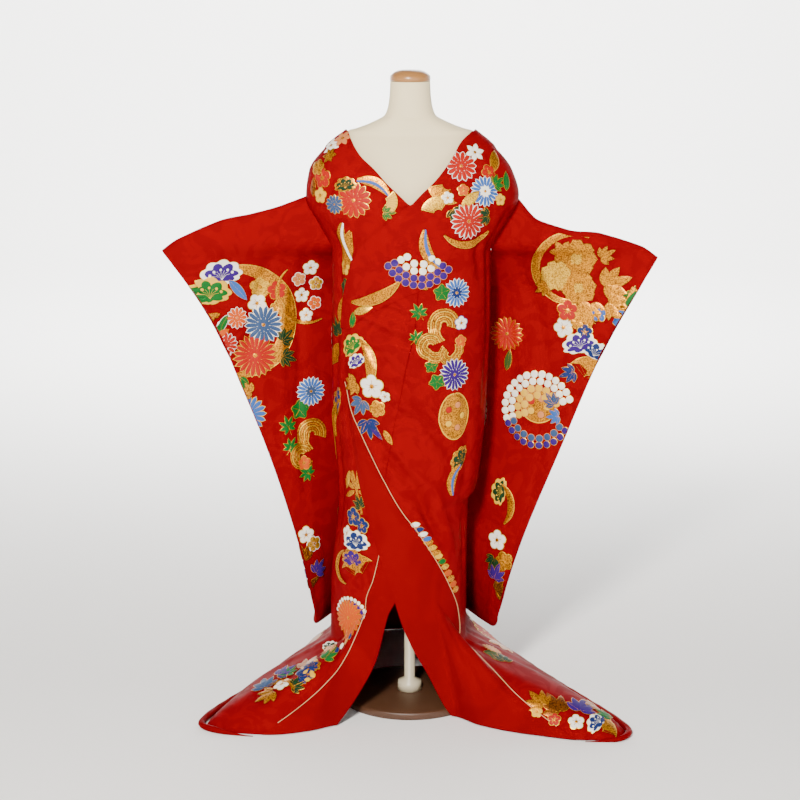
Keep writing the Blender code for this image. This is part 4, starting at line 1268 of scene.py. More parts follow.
def maple(work, r, colour="green", rim="gold"):
    for k in range(7):
        lean = (k - 3) * 44
        long = r * (1 - 0.10 * abs(k - 3))
        work.blob(spindle(0, long, r * 0.34, 90 + lean, 1.0, 6), colour, rim, 0.9, tier=k % 2)
    work.band([(0, -r * 0.7), (0, 0)], 1.2, rim, tier=2)


def round_leaf(work, r, colour="green", rim="gold"):
    turn = np.arange(24) * 15
    work.blob(polar(r * (0.86 + 0.14 * np.cos(np.radians(turn) * 5)), turn + 90), colour, rim, 1.2)
    for k in range(5):
        work.band([(0, 0), polar(r * 0.75, 90 + k * 72)], 1.0, rim, tier=1)


def pine(work, w, colour, rim):
    """A pine crown as a scalloped cloud, with a lobed heart of the deeper colour."""
    turn = np.arange(60) * 6
    tall = np.where(np.sin(np.radians(turn)) > 0, 0.78, 0.42)[:, None] * (0, 1) + (1, 0)
    scallop = 0.85 + 0.15 * np.abs(np.cos(np.radians(turn) * 4.5))
    work.blob(polar(w / 2 * scallop, turn) * tall, rim, "pale_gold", 1.2, dome=0.7)
    lobes = 0.58 + 0.22 * np.abs(np.cos(np.radians(turn) * 3.5))
    work.blob(polar(w / 2 * lobes, turn) * tall, colour, tier=2, dome=0.5)
    for k in range(5):
        x, y = polar(w * 0.27, 20 + k * 35) * (1, 0.55)
        work.blob(disc(x, y, w * 0.035, 8), rim, tier=4)
    for k in range(7):
        end = polar(w * 0.2, 10 + k * 160 / 6) * (1, 0.7)
        work.band([(0, -w * 0.08), end * 0.5, end], 0.9, rim, tier=4)


def bamboo(work, r, colour="gold", rim="pale_gold"):
    for k, lean in enumerate((-10, 8)):
        foot = np.array([-0.15 * r + 0.3 * r * k, -r])
        for joint in range(3):
            start = foot + polar(joint * 0.62 * r, 90 + lean)
            end = foot + polar((joint + 0.92) * 0.62 * r, 90 + lean)
            work.band([start, (start + end) / 2, end], r * 0.12, colour, dome=0.7)
    for lean in (35, 70, 110, 150, 200, -20):
        work.blob(spindle(0.1 * r, 0.85 * r, 0.2 * r, lean, 0.9, 7), colour, rim, 1.1, tier=1)


print("faces of a leaf 60 mm long:", faces_of(leaf, 60, 24, "green"))


# %% Rings, wisteria, streams and fans
def arc(radius, start, end, step=5.0):
    count = max(3, int(abs(end - start) * np.pi / 180 * radius / step) + 1)
    return polar(radius, np.linspace(start, end, count))


def crescent(work, r, thick, start, end, colour="gold", line="old_gold", lines=4):
    """A moon-shaped ring, thickest half way, with the thread's rows showing in it."""
    path = arc(r - thick / 2, start, end, 4.0)
    swell = np.sin(np.pi * np.linspace(0.04, 0.96, len(path))) ** 0.8
    inward = polar(1, np.linspace(start, end, len(path)))
    path = path + inward * ((1 - swell) * thick / 2)[:, None]
    work.band(path, thick * swell, colour, dome=0.5)
    for k in range(lines):
        aside = (k + 1) / (lines + 1) - 0.5
        work.band(path + inward * (swell * thick * aside)[:, None], 1.0, line, tier=1)
    work.band(path + inward * (swell * thick / 2)[:, None], 1.6, "pale_gold", tier=1)


def wisteria(work, r, start, end, rows=2, ball="white", scale="purple", rim="peach", buds_outside=True):
    """Curved racemes: rows of round buds, and rows of scales in a deeper colour."""
    for row in range(rows * 2):
        radius = r * (1 - 0.20 * row)
        size = 0.115 * r
        count = int(abs(end - start) * np.pi / 180 * radius / (size * 1.75))
        for angle in np.linspace(start, end, count):
            x, y = polar(radius, angle)
            if (row < rows) == buds_outside:
                work.blob(disc(x, y, size, 10), ball, "pale_gold", 0.8, tier=row % 2, dome=0.9)
            else:
                work.blob(disc(x, y, size * 1.05, 10), scale, rim, 1.0, tier=row % 2, dome=0.6)


def stream(work, r, colour="pale_gold", line="old_gold", strands=6):
    """A wave that curls over, as concentric strands with a tail."""
    for k in range(strands):
        radius = r * (1 - 0.15 * k)
        curl = arc(radius, -20, 200, 4.0)
        fall = np.linspace(0.05, 1, 9)[:, None]
        tail = curl[-1] + fall * (r * 0.25, -r * 0.9) + np.sin(fall * np.pi) * (-r * 0.18, 0)
        work.band(np.vstack([curl, tail]), r * 0.105, colour if k % 2 else "gold", tier=k % 2)
        work.band(curl[::2] * (radius - r * 0.07) / radius, 0.9, line, tier=1)


def fan(work, r, colour="gold", rib="old_gold", edge="pale_gold", spread=110):
    rim_arc = arc(r, 90 - spread / 2, 90 + spread / 2)
    inner = arc(r * 0.28, 90 + spread / 2, 90 - spread / 2)
    work.blob(np.vstack([rim_arc, inner]), colour, edge, 1.8)
    for k in range(9):
        lean = 90 - spread / 2 + (k + 0.5) * spread / 9
        work.band([polar(0.3 * r, lean), polar(0.6 * r, lean), polar(0.95 * r, lean)], 1.1, rib, tier=1)


def medallion(work, rx, ry, colour="gold", line="old_gold"):
    work.blob(polar(1, np.arange(40) * 9) * (rx, ry), colour, "straw", 2.2, dome=0.6)
    for k in range(4):
        work.band(polar(0.88 - 0.2 * k, np.arange(0, 361, 12)) * (rx, ry), 1.0, line, tier=2)
    for k in range(5):
        x, y = polar(0.5, k * 72) * (rx, ry)
        work.blob(disc(x, y, rx * 0.22, 10), ("straw", "peach", "scarlet")[k % 3], line, 1.2, tier=3)


def feather(work, length, width, colour="sky", edge="gold"):
    """A long curved plume with slanting barbs."""
    t = np.linspace(0, 1, 16)
    spine = np.stack([length * (t - 0.5), width * 0.5 * np.sin(np.pi * t)], 1)
    swell = width * np.sin(np.pi * (0.06 + 0.90 * t)) ** 0.7
    work.band(spine, swell, edge, dome=0.5)
    work.band(spine + (0, -width * 0.1), swell * 0.5, colour, tier=1)
    for k in range(2, 15, 2):
        reach = swell[k] * 0.45
        ends = [spine[k] + (-reach * 0.6, reach), spine[k], spine[k] + (-reach * 0.6, -reach)]
        work.band(ends, 1.1, "old_gold", tier=2)


def petals_strip(work, length, width, colours, rim="gold"):
    """Small slanting petals in a row, as beside the piping."""
    count = len(colours)
    for k, colour in enumerate(colours):
        x = length * ((k + 0.5) / count - 0.5)
        outline = spindle(-width * 0.5, width * 0.5, length / count * 0.9, 60, 0.7)
        work.blob(outline + (x, 0), colour, rim, 1.0, tier=k % 2)


print("faces of a fan 46 mm in radius:", faces_of(fan, 46))

# %% [markdown]
# ## Laying the motifs on the cloth
# A motif's flat millimetres are measured in the plane that touches the cloth at the
# motif's middle. Newton's method finds the angle and height below each flat point, and
# the creased surface with its lift gives the place. What runs past a panel's edge is
# pushed back onto that edge and its flattened faces are dropped, so it ends in a clean
# cut, as an embroidered cloth does when it has been cut and sewn.


# %% Laying
LAYING_STEPS = 9


def onto_body(places, flat):
    """The angles and heights of flat points, each in the plane of its own middle."""
    angle0, height0 = places[:, 0], places[:, 1]
    middle = base_point(angle0, height0)[0]
    u_axis = base_point(angle0 + 0.5, height0)[0] - base_point(angle0 - 0.5, height0)[0]
    u_axis /= np.linalg.norm(u_axis, axis=1, keepdims=True)
    v_axis = np.cross(outward(angle0, height0), u_axis)
    angle, height = angle0.copy(), height0.copy()
    for _ in range(LAYING_STEPS):
        here = base_point(angle, height)[0]
        by_angle = base_point(angle + 0.2, height)[0] - here
        by_height = base_point(angle, height + 0.001)[0] - here
        miss = flat - np.stack([np.sum((here - middle) * u_axis, 1), np.sum((here - middle) * v_axis, 1)], 1)
        a, b = np.sum(by_angle * u_axis, 1), np.sum(by_height * u_axis, 1)
        c, d = np.sum(by_angle * v_axis, 1), np.sum(by_height * v_axis, 1)
        area = a * d - b * c
        area = np.where(np.abs(area) < 1e-12, 1e-12, area)
        angle = angle + np.clip(0.2 * (d * miss[:, 0] - b * miss[:, 1]) / area, -12, 12)
        climb = np.clip(0.001 * (a * miss[:, 1] - c * miss[:, 0]) / area, -0.04, 0.04)
        height = np.clip(height + climb, 0.004, 1.36)
    return angle, height


found, _ = onto_body(np.array([(28.0, 1.29)]), np.array([(0.03, 0.0)]))
print("30 mm across from 28 degrees on the chest comes to", round(float(found[0]), 1), "degrees")


# %% Sewing a panel's embroidery
LEAST_AREA, LONGEST_SIDE = 1e-8, 0.03


def sew(name, work, locate):
    """One object for a panel's embroidery, without the faces that its edge flattened."""
    flat = np.array(work.flat)
    places = np.array(work.places, float)[np.array(work.homes)]
    points, outside = locate(places, flat[:, :2] / 1000, flat[:, 2] / 1000)
    four = np.array([(face[0], face[1], face[2], face[-1]) for face in work.faces])
    corners = points[four]
    one, across, two = [corners[:, k] - corners[:, 0] for k in (1, 2, 3)]
    size = np.linalg.norm(np.cross(one, across), axis=1) + np.linalg.norm(np.cross(across, two), axis=1)
    longest = np.maximum(np.linalg.norm(one, axis=1), np.linalg.norm(two, axis=1))
    sound = np.flatnonzero((size / 2 > LEAST_AREA) & (longest < LONGEST_SIDE) & ~outside[four].all(1))
    faces = [work.faces[k] for k in sound]
    kept = [work.threads[k] for k in sound]
    used = sorted(set(kept))
    piece = link_mesh(name, points, faces, [THREADS[THREAD_ORDER[k]] for k in used])
    piece.data.polygons.foreach_set("material_index", [used.index(k) for k in kept])
    loose = bmesh.new()
    loose.from_mesh(piece.data)
    bmesh.ops.delete(loose, geom=[v for v in loose.verts if not v.link_faces], context="VERTS")
    loose.to_mesh(piece.data)
    loose.free()
    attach(piece, "root")
    print(name, len(faces), "faces")
    return piece


print("left out: faces under", round(LEAST_AREA * 1e6, 3), "square mm")


# %% Finding the cloth under a stitch
def body_locator(half, layer=0.0, collar_only=False):
    side = half["side"]

    def locate(places, flat, lift):
        angle, height = onto_body(places, flat)
        inner = collar_inner(half, height) if collar_only else front_end(half, height)
        if not collar_only:
            low_front = half["fold"](height)
            inner = np.where(height < OVERLAP_TOP, low_front + side * 0.2, inner)
        outer = half["collar"](height) if collar_only else side * 179.0 + 0 * height
        low = np.minimum(inner, outer)
        high = np.maximum(inner, outer)
        outside = (angle < low) | (angle > high)
        angle = np.clip(angle, low, high)
        if collar_only:
            outside |= height < half["collar_end"]
            height = np.maximum(height, half["collar_end"])
        return cloth_point(angle, height, front_layer(half, angle, height) + layer + lift), outside

    return locate


def sleeve_locator(side, face):
    """Front face 1 or back face -1. A place is (distance from the middle, height)."""
    sleeve = sleeves[side][0]

    def locate(places, flat, lift):
        across = places[:, 0] + flat[:, 0] * side * face
        height = places[:, 1] + flat[:, 1]
        share, down = np.full(len(across), 0.5), np.full(len(across), 0.4)
        for _ in range(14):
            high, distance = sleeve.measures(np.clip(share, 0, 1), np.clip(down, 0, 1))
            down = np.clip(down + (high - height) / (sleeve.tip - sleeve.foot) * 0.9, -0.2, 1.2)
            share = np.clip(share + (sleeve.cuff(high) - distance - across) / 0.30 * 0.8, -0.4, 1.4)
        outside = (share < 0.002) | (share > 0.985) | (down < 0.012) | (down > 0.985)
        share, down = np.clip(share, 0.002, 0.985), np.clip(down, 0.012, 0.985)
        inward = np.minimum(SLEEVE_WIDTH * share, SLEEVE_CORNER)
        cut = SLEEVE_CORNER - np.sqrt(SLEEVE_CORNER**2 - (SLEEVE_CORNER - inward) ** 2)
        down = np.minimum(down, 0.985 * (1 - cut / (sleeve.tip - sleeve.foot)))
        half_thick = sleeve.half(share, down * (sleeve.tip - sleeve.foot))
        return sleeve.point(share, down, face * half_thick, lift), outside

    return locate


chest, _ = body_locator(LEFT)(np.array([(28.0, 1.29)]), np.zeros((1, 2)), np.zeros(1))
print("28 degrees round at 1.29 m is the place", chest[0].round(3))

# %% [markdown]
# ## Where the motifs go
# The main figures are in the places where the robe wears them: a great ring on each
# sleeve, flowers over the chest, wisteria at the wrap, a stream with chrysanthemums on
# the front, pine and bamboo along the edges, and sprays on the trains. The back and the
# inner faces carry figures of the same kinds.

# %% Placement tables
Motif = namedtuple("Motif", "draw place turn sizes looks")


def M(draw, across, height, turn, *sizes, **looks):
    return Motif(draw, (across, height), turn, sizes, looks)


def reach(motif):
    """About how far a motif goes from its middle, in mm."""
    return motif.sizes[0] / (2 if motif.draw in (leaf, feather, petals_strip, pine) else 1)


def lay_out(motifs, scale):
    """All motifs of a panel. One that covers part of an earlier one is sewn on top of it."""
    work = Stitches()
    levels = []
    for k, motif in enumerate(motifs):
        level = 0
        for earlier, its_level in zip(motifs[:k], levels):
            gap = np.hypot(*((np.array(motif.place) - earlier.place) * scale))
            if gap < 0.8 * (reach(motif) + reach(earlier)):
                level = max(level, its_level + 1)
        levels.append(min(level, 3))
        work.start(motif.place, motif.turn, levels[-1])
        motif.draw(work, *motif.sizes, **motif.looks)
    return work


# A degree round the body is about 2.7 mm, and on a sleeve both places are in metres.
BODY_SCALE, SLEEVE_SCALE = (2.7, 1000), (1000, 1000)
round_body = base_point(np.arange(-180.0, 181.0), np.full(361, 1.1))[0]
degree_steps = np.linalg.norm(np.diff(round_body, axis=0), axis=1)
print("a degree round the body at 1.1 m, mm:", round(1000 * float(degree_steps.mean()), 2))

# %% Figures on the wearer's left front
# M(figure, angle or distance from the middle, height, turn, sizes in mm and colours)
LEFT_FRONT = [
    # over the shoulder and chest
    M(chrysanthemum, 28, 1.29, 0, 36, "scarlet", petals=14),
    M(fan, 18, 1.252, 150, 46),
    M(star, 44, 1.318, 10, 24, "white"),
    M(plum, 47, 1.275, 20, 19, "scarlet"),
    M(chrysanthemum, 40, 1.234, 5, 35, "sky", inner="white"),
    M(leaf, 60, 1.3, 60, 62, 26, "gold", "pale_gold", "old_gold"),
    M(leaf, 63, 1.254, 75, 48, 20, "green"),
    M(sprig, 20, 1.196, -150, 34, "pine"),
    M(sprig, 46, 1.18, 100, 36, "pine"),
    M(chrysanthemum, 32, 1.17, 0, 42, "scarlet", petals=18),
    M(crescent, 31, 1.17, 0, 62, 16, 210, 335),
    M(fan, 13, 1.186, 20, 40, "pale_gold"),
    M(plum, 17, 1.222, 10, 15, "white"),
    M(leaf, 30, 1.218, 40, 56, 22, "pale_gold", vein="old_gold"),
    M(plum, 26, 1.238, 0, 14, "orange"),
    M(sprig, 48, 1.246, -60, 34, "green"),
    M(plum, 52, 1.214, 0, 14, "straw", "gold"),
    # wisteria at the wrap
    M(wisteria, 5, 1.106, 0, 78, 206, 326, buds_outside=False),
    M(feather, 12, 1.11, 110, 90, 26),
    M(crescent, -33, 1.066, 0, 88, 26, -20, -110),
    M(leaf, -34, 0.968, 20, 50, 18, "pale_gold", vein="old_gold"),
    M(leaf, -44, 0.944, 80, 40, 16, "green"),
    # the stream on the front
    M(chrysanthemum, 32, 1.008, 0, 34, "sky", inner="navy"),
    M(round_leaf, 20, 1.01, 0, 21),
    M(maple, 5, 0.964, 30, 27),
    M(maple, 3, 0.905, -40, 25),
    M(sprig, 10, 1.018, 40, 28, "gold", leaves=3, width=0.2),
    M(stream, 22, 0.936, 0, 36),
    M(stream, 12, 0.888, 60, 30),
    M(stream, 27, 0.868, 150, 26),
    M(plum, 36, 0.938, 0, 17, "white", "sky"),
    M(plum, 36, 0.896, 0, 15, "orange"),
    M(chrysanthemum, 31, 0.82, 0, 38, "purple", petals=18),
    M(round_leaf, 17, 0.806, 30, 20),
    M(round_leaf, 13, 0.842, 70, 17),
    M(medallion, 33, 0.722, 0, 40, 56),
    M(pine, 42, 0.616, 60, 70, "pine", "gold"),
    M(feather, 38, 0.57, 75, 74, 24),
    # along the inner edge
    M(pine, -45, 0.88, 40, 74, "green", "straw"),
    M(pine, -40, 0.846, 30, 54, "purple", "white"),
    M(crescent, -52, 0.836, 0, 78, 24, 60, -42),
    M(plum, -26, 0.794, 0, 30, "white"),
    M(plum, -22, 0.742, 20, 20, "gold"),
    M(plum, -16, 0.772, 20, 14, "white"),
    M(sprig, -34, 0.76, 150, 44, "slate"),
    M(sprig, -30, 0.714, 190, 48, "navy"),
    M(sprig, -40, 0.8, 120, 44, "gold", "old_gold"),
    M(leaf, -24, 0.69, -50, 56, 17, "purple"),
    M(leaf, -14, 0.676, -60, 40, 14, "gold", vein="old_gold"),
    # beside the outer piping
    M(petals_strip, 9, 0.452, -52, 60, 26, ("white", "navy", "white", "sky")),
    M(petals_strip, 20, 0.412, -55, 50, 26, ("gold", "pale_gold", "gold")),
    M(petals_strip, 31, 0.376, -58, 50, 24, ("straw", "green", "pale_gold")),
    M(petals_strip, 45, 0.322, -60, 70, 26, ("orange", "gold", "orange", "gold")),
    # the left train
    M(round_leaf, 76, 0.128, 0, 34, "olive"),
    M(sprig, 72, 0.122, -60, 44, "pine"),
    M(chrysanthemum, 82, 0.13, 0, 26, "peach", "gold"),
    M(sprig, 60, 0.054, 20, 60, "old_gold", "gold"),
    M(pine, 67, 0.034, 30, 66, "navy", "white"),
    M(plum, 61, 0.036, 0, 20, "white"),
    M(sprig, 72, 0.03, -20, 46, "green"),
    M(fan, 64, 0.022, -60, 44),
    M(plum, 56, 0.04, 0, 16, "scarlet"),
    M(sprig, 66, 0.052, -30, 60, "purple", "gold"),
    M(sprig, 57, 0.064, 40, 52, "gold", "old_gold"),
    M(sprig, 74, 0.044, 10, 44, "old_gold", "gold"),
    M(plum, 53, 0.052, 0, 14, "straw"),
]
print("left front:", len(LEFT_FRONT), "motifs")

# %% Figures on the wearer's right front
RIGHT_FRONT = [
    # over the shoulder and chest
    M(star, -70, 1.33, 0, 26, "white", "scarlet"),
    M(star, -62, 1.346, 20, 24, "peach", "scarlet"),
    M(star, -60, 1.31, 10, 20, "gold", "old_gold"),
    M(plum, -58, 1.262, 10, 25, "scarlet", "gold"),
    M(plum, -66, 1.284, 0, 19, "gold", "pale_gold"),
    M(plum, -59, 1.222, 0, 20, "straw", "gold"),
    M(leaf, -70, 1.24, 95, 46, 17, "old_gold", vein="gold"),
    M(chrysanthemum, -30, 1.216, 0, 42, "scarlet", "pale_gold", petals=14),
    M(pine, -36, 1.246, 10, 56, "pine", "gold"),
    M(feather, -18, 1.244, -25, 84, 24),
    M(fan, -13, 1.214, -100, 34, "straw"),
    M(sprig, -13, 1.19, -90, 30, "green"),
    M(chrysanthemum, -45, 1.204, 0, 24, "slate", "pale_gold", petals=12),
    # the plume at the side
    M(crescent, -28, 1.08, 0, 84, 34, 128, 205),
    M(feather, -48, 1.12, 100, 86, 30, "white"),
    M(round_leaf, -57, 1.01, 0, 26, "pine"),
    M(plum, -58, 1.06, 0, 20, "straw"),
    M(leaf, -66, 0.96, 80, 60, 20, "gold", vein="old_gold"),
    M(sprig, -70, 0.9, 20, 44, "pine"),
    M(fan, -68, 0.84, 60, 40),
    M(pine, -72, 0.74, 70, 76, "navy", "gold"),
    M(crescent, -62, 0.69, 0, 60, 18, 100, 220),
    # the inner panel
    M(bamboo, -48, 0.54, 8, 58),
    M(leaf, -60, 0.56, 70, 50, 17, "pale_gold", vein="old_gold"),
    M(sprig, -42, 0.5, 30, 36, "pine"),
    M(plum, -52, 0.474, 0, 24, "navy"),
    M(plum, -40, 0.458, 0, 20, "navy"),
    M(plum, -60, 0.43, 0, 20, "white"),
    M(pine, -46, 0.412, 5, 86, "navy", "white"),
    M(pine, -48, 0.37, 0, 74, "purple", "gold"),
    M(fan, -38, 0.33, 20, 58),
    M(crescent, -56, 0.35, 0, 40, 12, 100, 280),
    M(wisteria, -48, 0.226, 0, 50, 20, 165, rows=1),
    M(chrysanthemum, -50, 0.228, 0, 46, "orange", "gold", petals=20),
    M(petals_strip, -43, 0.182, 75, 60, 22, ("navy", "white", "gold", "navy")),
    # the right train
    M(pine, -68, 0.15, 20, 62, "pine", "white"),
    M(fan, -60, 0.14, 20, 50),
    M(sprig, -62, 0.12, 30, 50, "old_gold", "gold"),
    M(sprig, -56, 0.108, -30, 50, "navy"),
    M(maple, -66, 0.106, 60, 34),
    M(plum, -60, 0.092, 0, 22, "white"),
    M(sprig, -66, 0.082, 60, 56, "slate"),
    M(crescent, -58, 0.08, 0, 44, 14, 20, 160),
    M(sprig, -51, 0.146, 10, 44, "green", "gold"),
    M(pine, -56, 0.126, 25, 64, "navy", "gold"),
    M(plum, -52, 0.116, 0, 20, "straw"),
    M(sprig, -70, 0.098, 20, 54, "purple", "gold"),
    M(sprig, -60, 0.08, 150, 50, "gold", "old_gold"),
    M(sprig, -54, 0.092, -40, 40, "pine", "gold"),
]
# Places on a sleeve are (distance from the middle, height) in metres.
print("right front:", len(RIGHT_FRONT), "motifs")

# %% Figures on the wearer's right sleeve
RIGHT_SLEEVE = [
    M(crescent, 0.388, 0.92, 0, 132, 42, 112, -100, lines=6),
    M(pine, 0.436, 1.026, 8, 104, "purple", "white"),
    M(pine, 0.466, 0.984, 2, 108, "green", "straw"),
    M(leaf, 0.398, 0.992, -50, 66, 22, "sky"),
    M(leaf, 0.47, 0.93, -160, 60, 20, "gold", vein="old_gold"),
    M(leaf, 0.44, 0.912, -125, 62, 19, "green", "white"),
    M(leaf, 0.446, 0.89, -150, 56, 18, "orange"),
    M(plum, 0.345, 0.996, 0, 26, "pale_gold", "gold"),
    M(plum, 0.352, 0.958, 30, 24, "white"),
    M(plum, 0.306, 0.988, 10, 24, "scarlet", "gold"),
    M(plum, 0.304, 0.946, 0, 17, "gold", "pale_gold"),
    M(chrysanthemum, 0.402, 0.928, 0, 26, "orange", petals=12),
    M(sprig, 0.296, 0.868, -50, 40, "pine"),
    M(sprig, 0.296, 0.832, -110, 40, "pine"),
    M(chrysanthemum, 0.338, 0.908, 0, 46, "slate", petals=18),
    M(chrysanthemum, 0.362, 0.838, 8, 53, "scarlet", "pale_gold", petals=20),
    M(chrysanthemum, 0.432, 0.868, 8, 30, "scarlet", petals=14),
    M(sprig, 0.4, 0.79, 160, 44, "green"),
    M(chrysanthemum, 0.384, 0.7, 0, 48, "sky", "straw", petals=18),
    M(sprig, 0.372, 0.752, 70, 36, "gold", "old_gold"),
    M(plum, 0.226, 1.04, 0, 20, "white"),
    M(plum, 0.252, 1.012, 15, 18, "peach", "white"),
    M(plum, 0.21, 1.0, 0, 18, "pale_gold", "white"),
    M(plum, 0.244, 0.972, 0, 19, "white"),
    M(plum, 0.212, 0.952, 20, 17, "orange", "white"),
    M(plum, 0.232, 0.924, 0, 17, "white"),
    M(crescent, 0.232, 0.98, 0, 76, 9, 130, 300, lines=1),
    M(chrysanthemum, 0.224, 0.742, 0, 36, "sky", inner="slate"),
    M(round_leaf, 0.252, 0.7, 0, 25),
    M(maple, 0.284, 0.664, 20, 30),
    M(maple, 0.28, 0.614, -30, 28),
    M(stream, 0.222, 0.64, 0, 36),
    M(stream, 0.25, 0.59, 60, 30),
    M(maple, 0.236, 0.548, 60, 28),
    M(plum, 0.246, 0.574, 0, 18, "orange"),
    M(plum, 0.246, 0.402, 0, 22, "white"),
    M(plum, 0.226, 0.378, 20, 20, "pale_gold", "white"),
    M(sprig, 0.252, 0.342, 20, 44, "old_gold", "gold"),
    M(sprig, 0.224, 0.306, -40, 42, "purple"),
    M(leaf, 0.24, 0.282, 30, 60, 18, "old_gold"),
]
print("right sleeve:", len(RIGHT_SLEEVE), "motifs")

# %% Figures on the wearer's left sleeve
LEFT_SLEEVE = [
    M(peony, 0.384, 1.066, 0, 46, "gold"),
    M(crescent, 0.368, 1.044, 0, 88, 20, 60, 300, lines=3),
    M(peony, 0.338, 1.024, 20, 36, "pale_gold"),
    M(peony, 0.392, 0.996, 10, 40, "gold"),
    M(star, 0.35, 1.084, 0, 30, "gold", "old_gold"),
    M(sprig, 0.44, 1.07, -60, 40, "gold", "old_gold"),
    M(sprig, 0.318, 0.998, 120, 36, "gold", "old_gold"),
    M(sprig, 0.452, 1.002, -70, 70, "gold", "old_gold"),
    M(sprig, 0.462, 0.966, -110, 64, "gold", "old_gold"),
    M(leaf, 0.506, 0.976, 60, 60, 22, "green"),
    M(leaf, 0.486, 0.93, 70, 56, 18, "sky", "pale_gold"),
    M(sprig, 0.42, 0.96, 180, 60, "gold", "old_gold"),
    M(fan, 0.424, 0.9, 20, 60),
    M(plum, 0.366, 0.942, 0, 26, "scarlet", "gold"),
    M(plum, 0.356, 0.902, 20, 25, "white"),
    M(plum, 0.388, 0.916, 20, 16, "gold", "pale_gold"),
    M(plum, 0.44, 0.938, 0, 20, "sky"),
    M(plum, 0.408, 0.894, 0, 20, "navy"),
    M(pine, 0.398, 0.862, 15, 88, "purple", "white"),
    M(pine, 0.434, 0.846, -30, 76, "navy", "white"),
    M(fan, 0.42, 0.776, -10, 62),
    M(chrysanthemum, 0.446, 0.788, 0, 28, "scarlet", "gold"),
    M(sprig, 0.386, 0.8, 110, 40, "navy"),
    M(chrysanthemum, 0.218, 0.878, 0, 42, "scarlet", "gold", petals=18),
    M(leaf, 0.222, 0.816, 80, 52, 18, "olive"),
    M(medallion, 0.3, 0.712, 0, 44, 40),
    M(wisteria, 0.298, 0.706, 0, 82, 20, 200, rows=2, scale="straw"),
    M(wisteria, 0.298, 0.7, 0, 80, 205, 330, rows=1, ball="purple", scale="slate"),
    M(sprig, 0.34, 0.72, 40, 36, "slate"),
    M(sprig, 0.352, 0.694, 100, 34, "sky"),
    M(pine, 0.21, 0.5, 80, 70, "pine", "straw"),
    M(crescent, 0.196, 0.47, 0, 52, 18, 70, -60),
    M(plum, 0.204, 0.384, 0, 26, "white"),
    M(plum, 0.224, 0.336, 20, 24, "gold", "pale_gold"),
    M(sprig, 0.198, 0.34, 150, 38, "pine"),
    M(sprig, 0.2, 0.29, -20, 44, "purple"),
    M(sprig, 0.206, 0.262, -70, 40, "old_gold", "gold"),
]
print("motifs:", len(LEFT_FRONT) + len(RIGHT_FRONT) + len(RIGHT_SLEEVE) + len(LEFT_SLEEVE), "on the front")

# %% [markdown]
# ## The back and the inner faces
# On the back, where a bride's robe is seen most, the same figures are larger and lie in
# groups: one high between the shoulders, a stream at the waist and two great rings on the
# train. Each sleeve's back repeats its front, as the one length of cloth is embroidered on
# both of its halves.


# %% The back
def back_group(angle, height, first, second):
    """A round group of flowers and leaves about a place on the back."""
    wide = 20 if angle > 0 else -20
    return [
        M(crescent, angle, height, 0, 96, 26, 130, -120),
        M(chrysanthemum, angle, height + 0.03, 0, 48, first, petals=18),
        M(chrysanthemum, angle + wide * 0.7, height - 0.05, 0, 38, second),
        M(plum, angle - wide * 0.8, height - 0.03, 0, 26, "white"),
        M(plum, angle - wide * 0.6, height + 0.07, 0, 22, "gold", "pale_gold"),
        M(sprig, angle - wide * 0.3, height - 0.06, 170, 46, "pine"),
        M(pine, angle + wide * 0.4, height + 0.08, 0, 80, "green", "straw"),
    ]


LEFT_BACK = [
    *back_group(148, 1.150, "sky", "scarlet"),
    *back_group(132, 0.860, "scarlet", "purple"),
    *back_group(156, 0.600, "purple", "orange"),
    *back_group(128, 0.420, "navy", "scarlet"),
    M(wisteria, 124, 0.7, 0, 70, 20, 200),
    M(stream, 150, 1.0, 0, 44),
    M(stream, 166, 0.3, 0, 60),
    M(maple, 166, 0.96, 20, 34),
    M(sprig, 108, 0.09, 30, 70, "old_gold", "gold"),
    M(chrysanthemum, 120, 0.11, 0, 50, "scarlet", "pale_gold"),
    M(pine, 146, 0.12, 0, 120, "navy", "white"),
    M(fan, 168, 0.11, 0, 80),
]
RIGHT_BACK = [
    *back_group(-146, 1.150, "scarlet", "sky"),
    *back_group(-160, 0.860, "navy", "orange"),
    *back_group(-130, 0.640, "scarlet", "sky"),
    *back_group(-152, 0.420, "sky", "purple"),
    M(wisteria, -126, 0.88, 0, 70, -20, 160),
    M(stream, -128, 1.01, 0, 44),
    M(maple, -116, 0.5, 20, 34),
    M(fan, -112, 0.42, 0, 64),
    M(sprig, -108, 0.09, 30, 70, "old_gold", "gold"),
    M(chrysanthemum, -122, 0.11, 0, 50, "slate"),
    M(peony, -146, 0.12, 0, 64),
    M(pine, -166, 0.12, 0, 120, "purple", "gold"),
]


def near_collar(motifs, half):
    """The motifs that reach the collar, which repeats them on its own layer."""
    return [m for m in motifs if abs(m.place[0]) < 80 and m.place[1] > half["collar_end"] - 0.04]


FRONTS = {1: LEFT_FRONT, -1: RIGHT_FRONT}
BACKS = {1: LEFT_BACK, -1: RIGHT_BACK}
SLEEVE_FIGURES = {1: LEFT_SLEEVE, -1: RIGHT_SLEEVE}
embroideries = []
for half in (LEFT, RIGHT):
    side, word = half["side"], half["word"]
    whole = lay_out(FRONTS[side] + BACKS[side], BODY_SCALE)
    top = lay_out(near_collar(FRONTS[side], half), BODY_SCALE)
    arm = lay_out(SLEEVE_FIGURES[side], SLEEVE_SCALE)
    embroideries += [
        sew("embroidery_body" + word, whole, body_locator(half)),
        sew("embroidery_collar" + word, top, body_locator(half, WALL + PLY, collar_only=True)),
        sew("embroidery_sleeve" + word, arm, sleeve_locator(side, 1)),
        sew("embroidery_sleeve_back" + word, arm, sleeve_locator(side, -1)),
    ]

# %% [markdown]
# ## The cut
# Each cloth piece was a flat length before it was sewn and hung.


for half in (RIGHT, LEFT):
    side = half["side"]

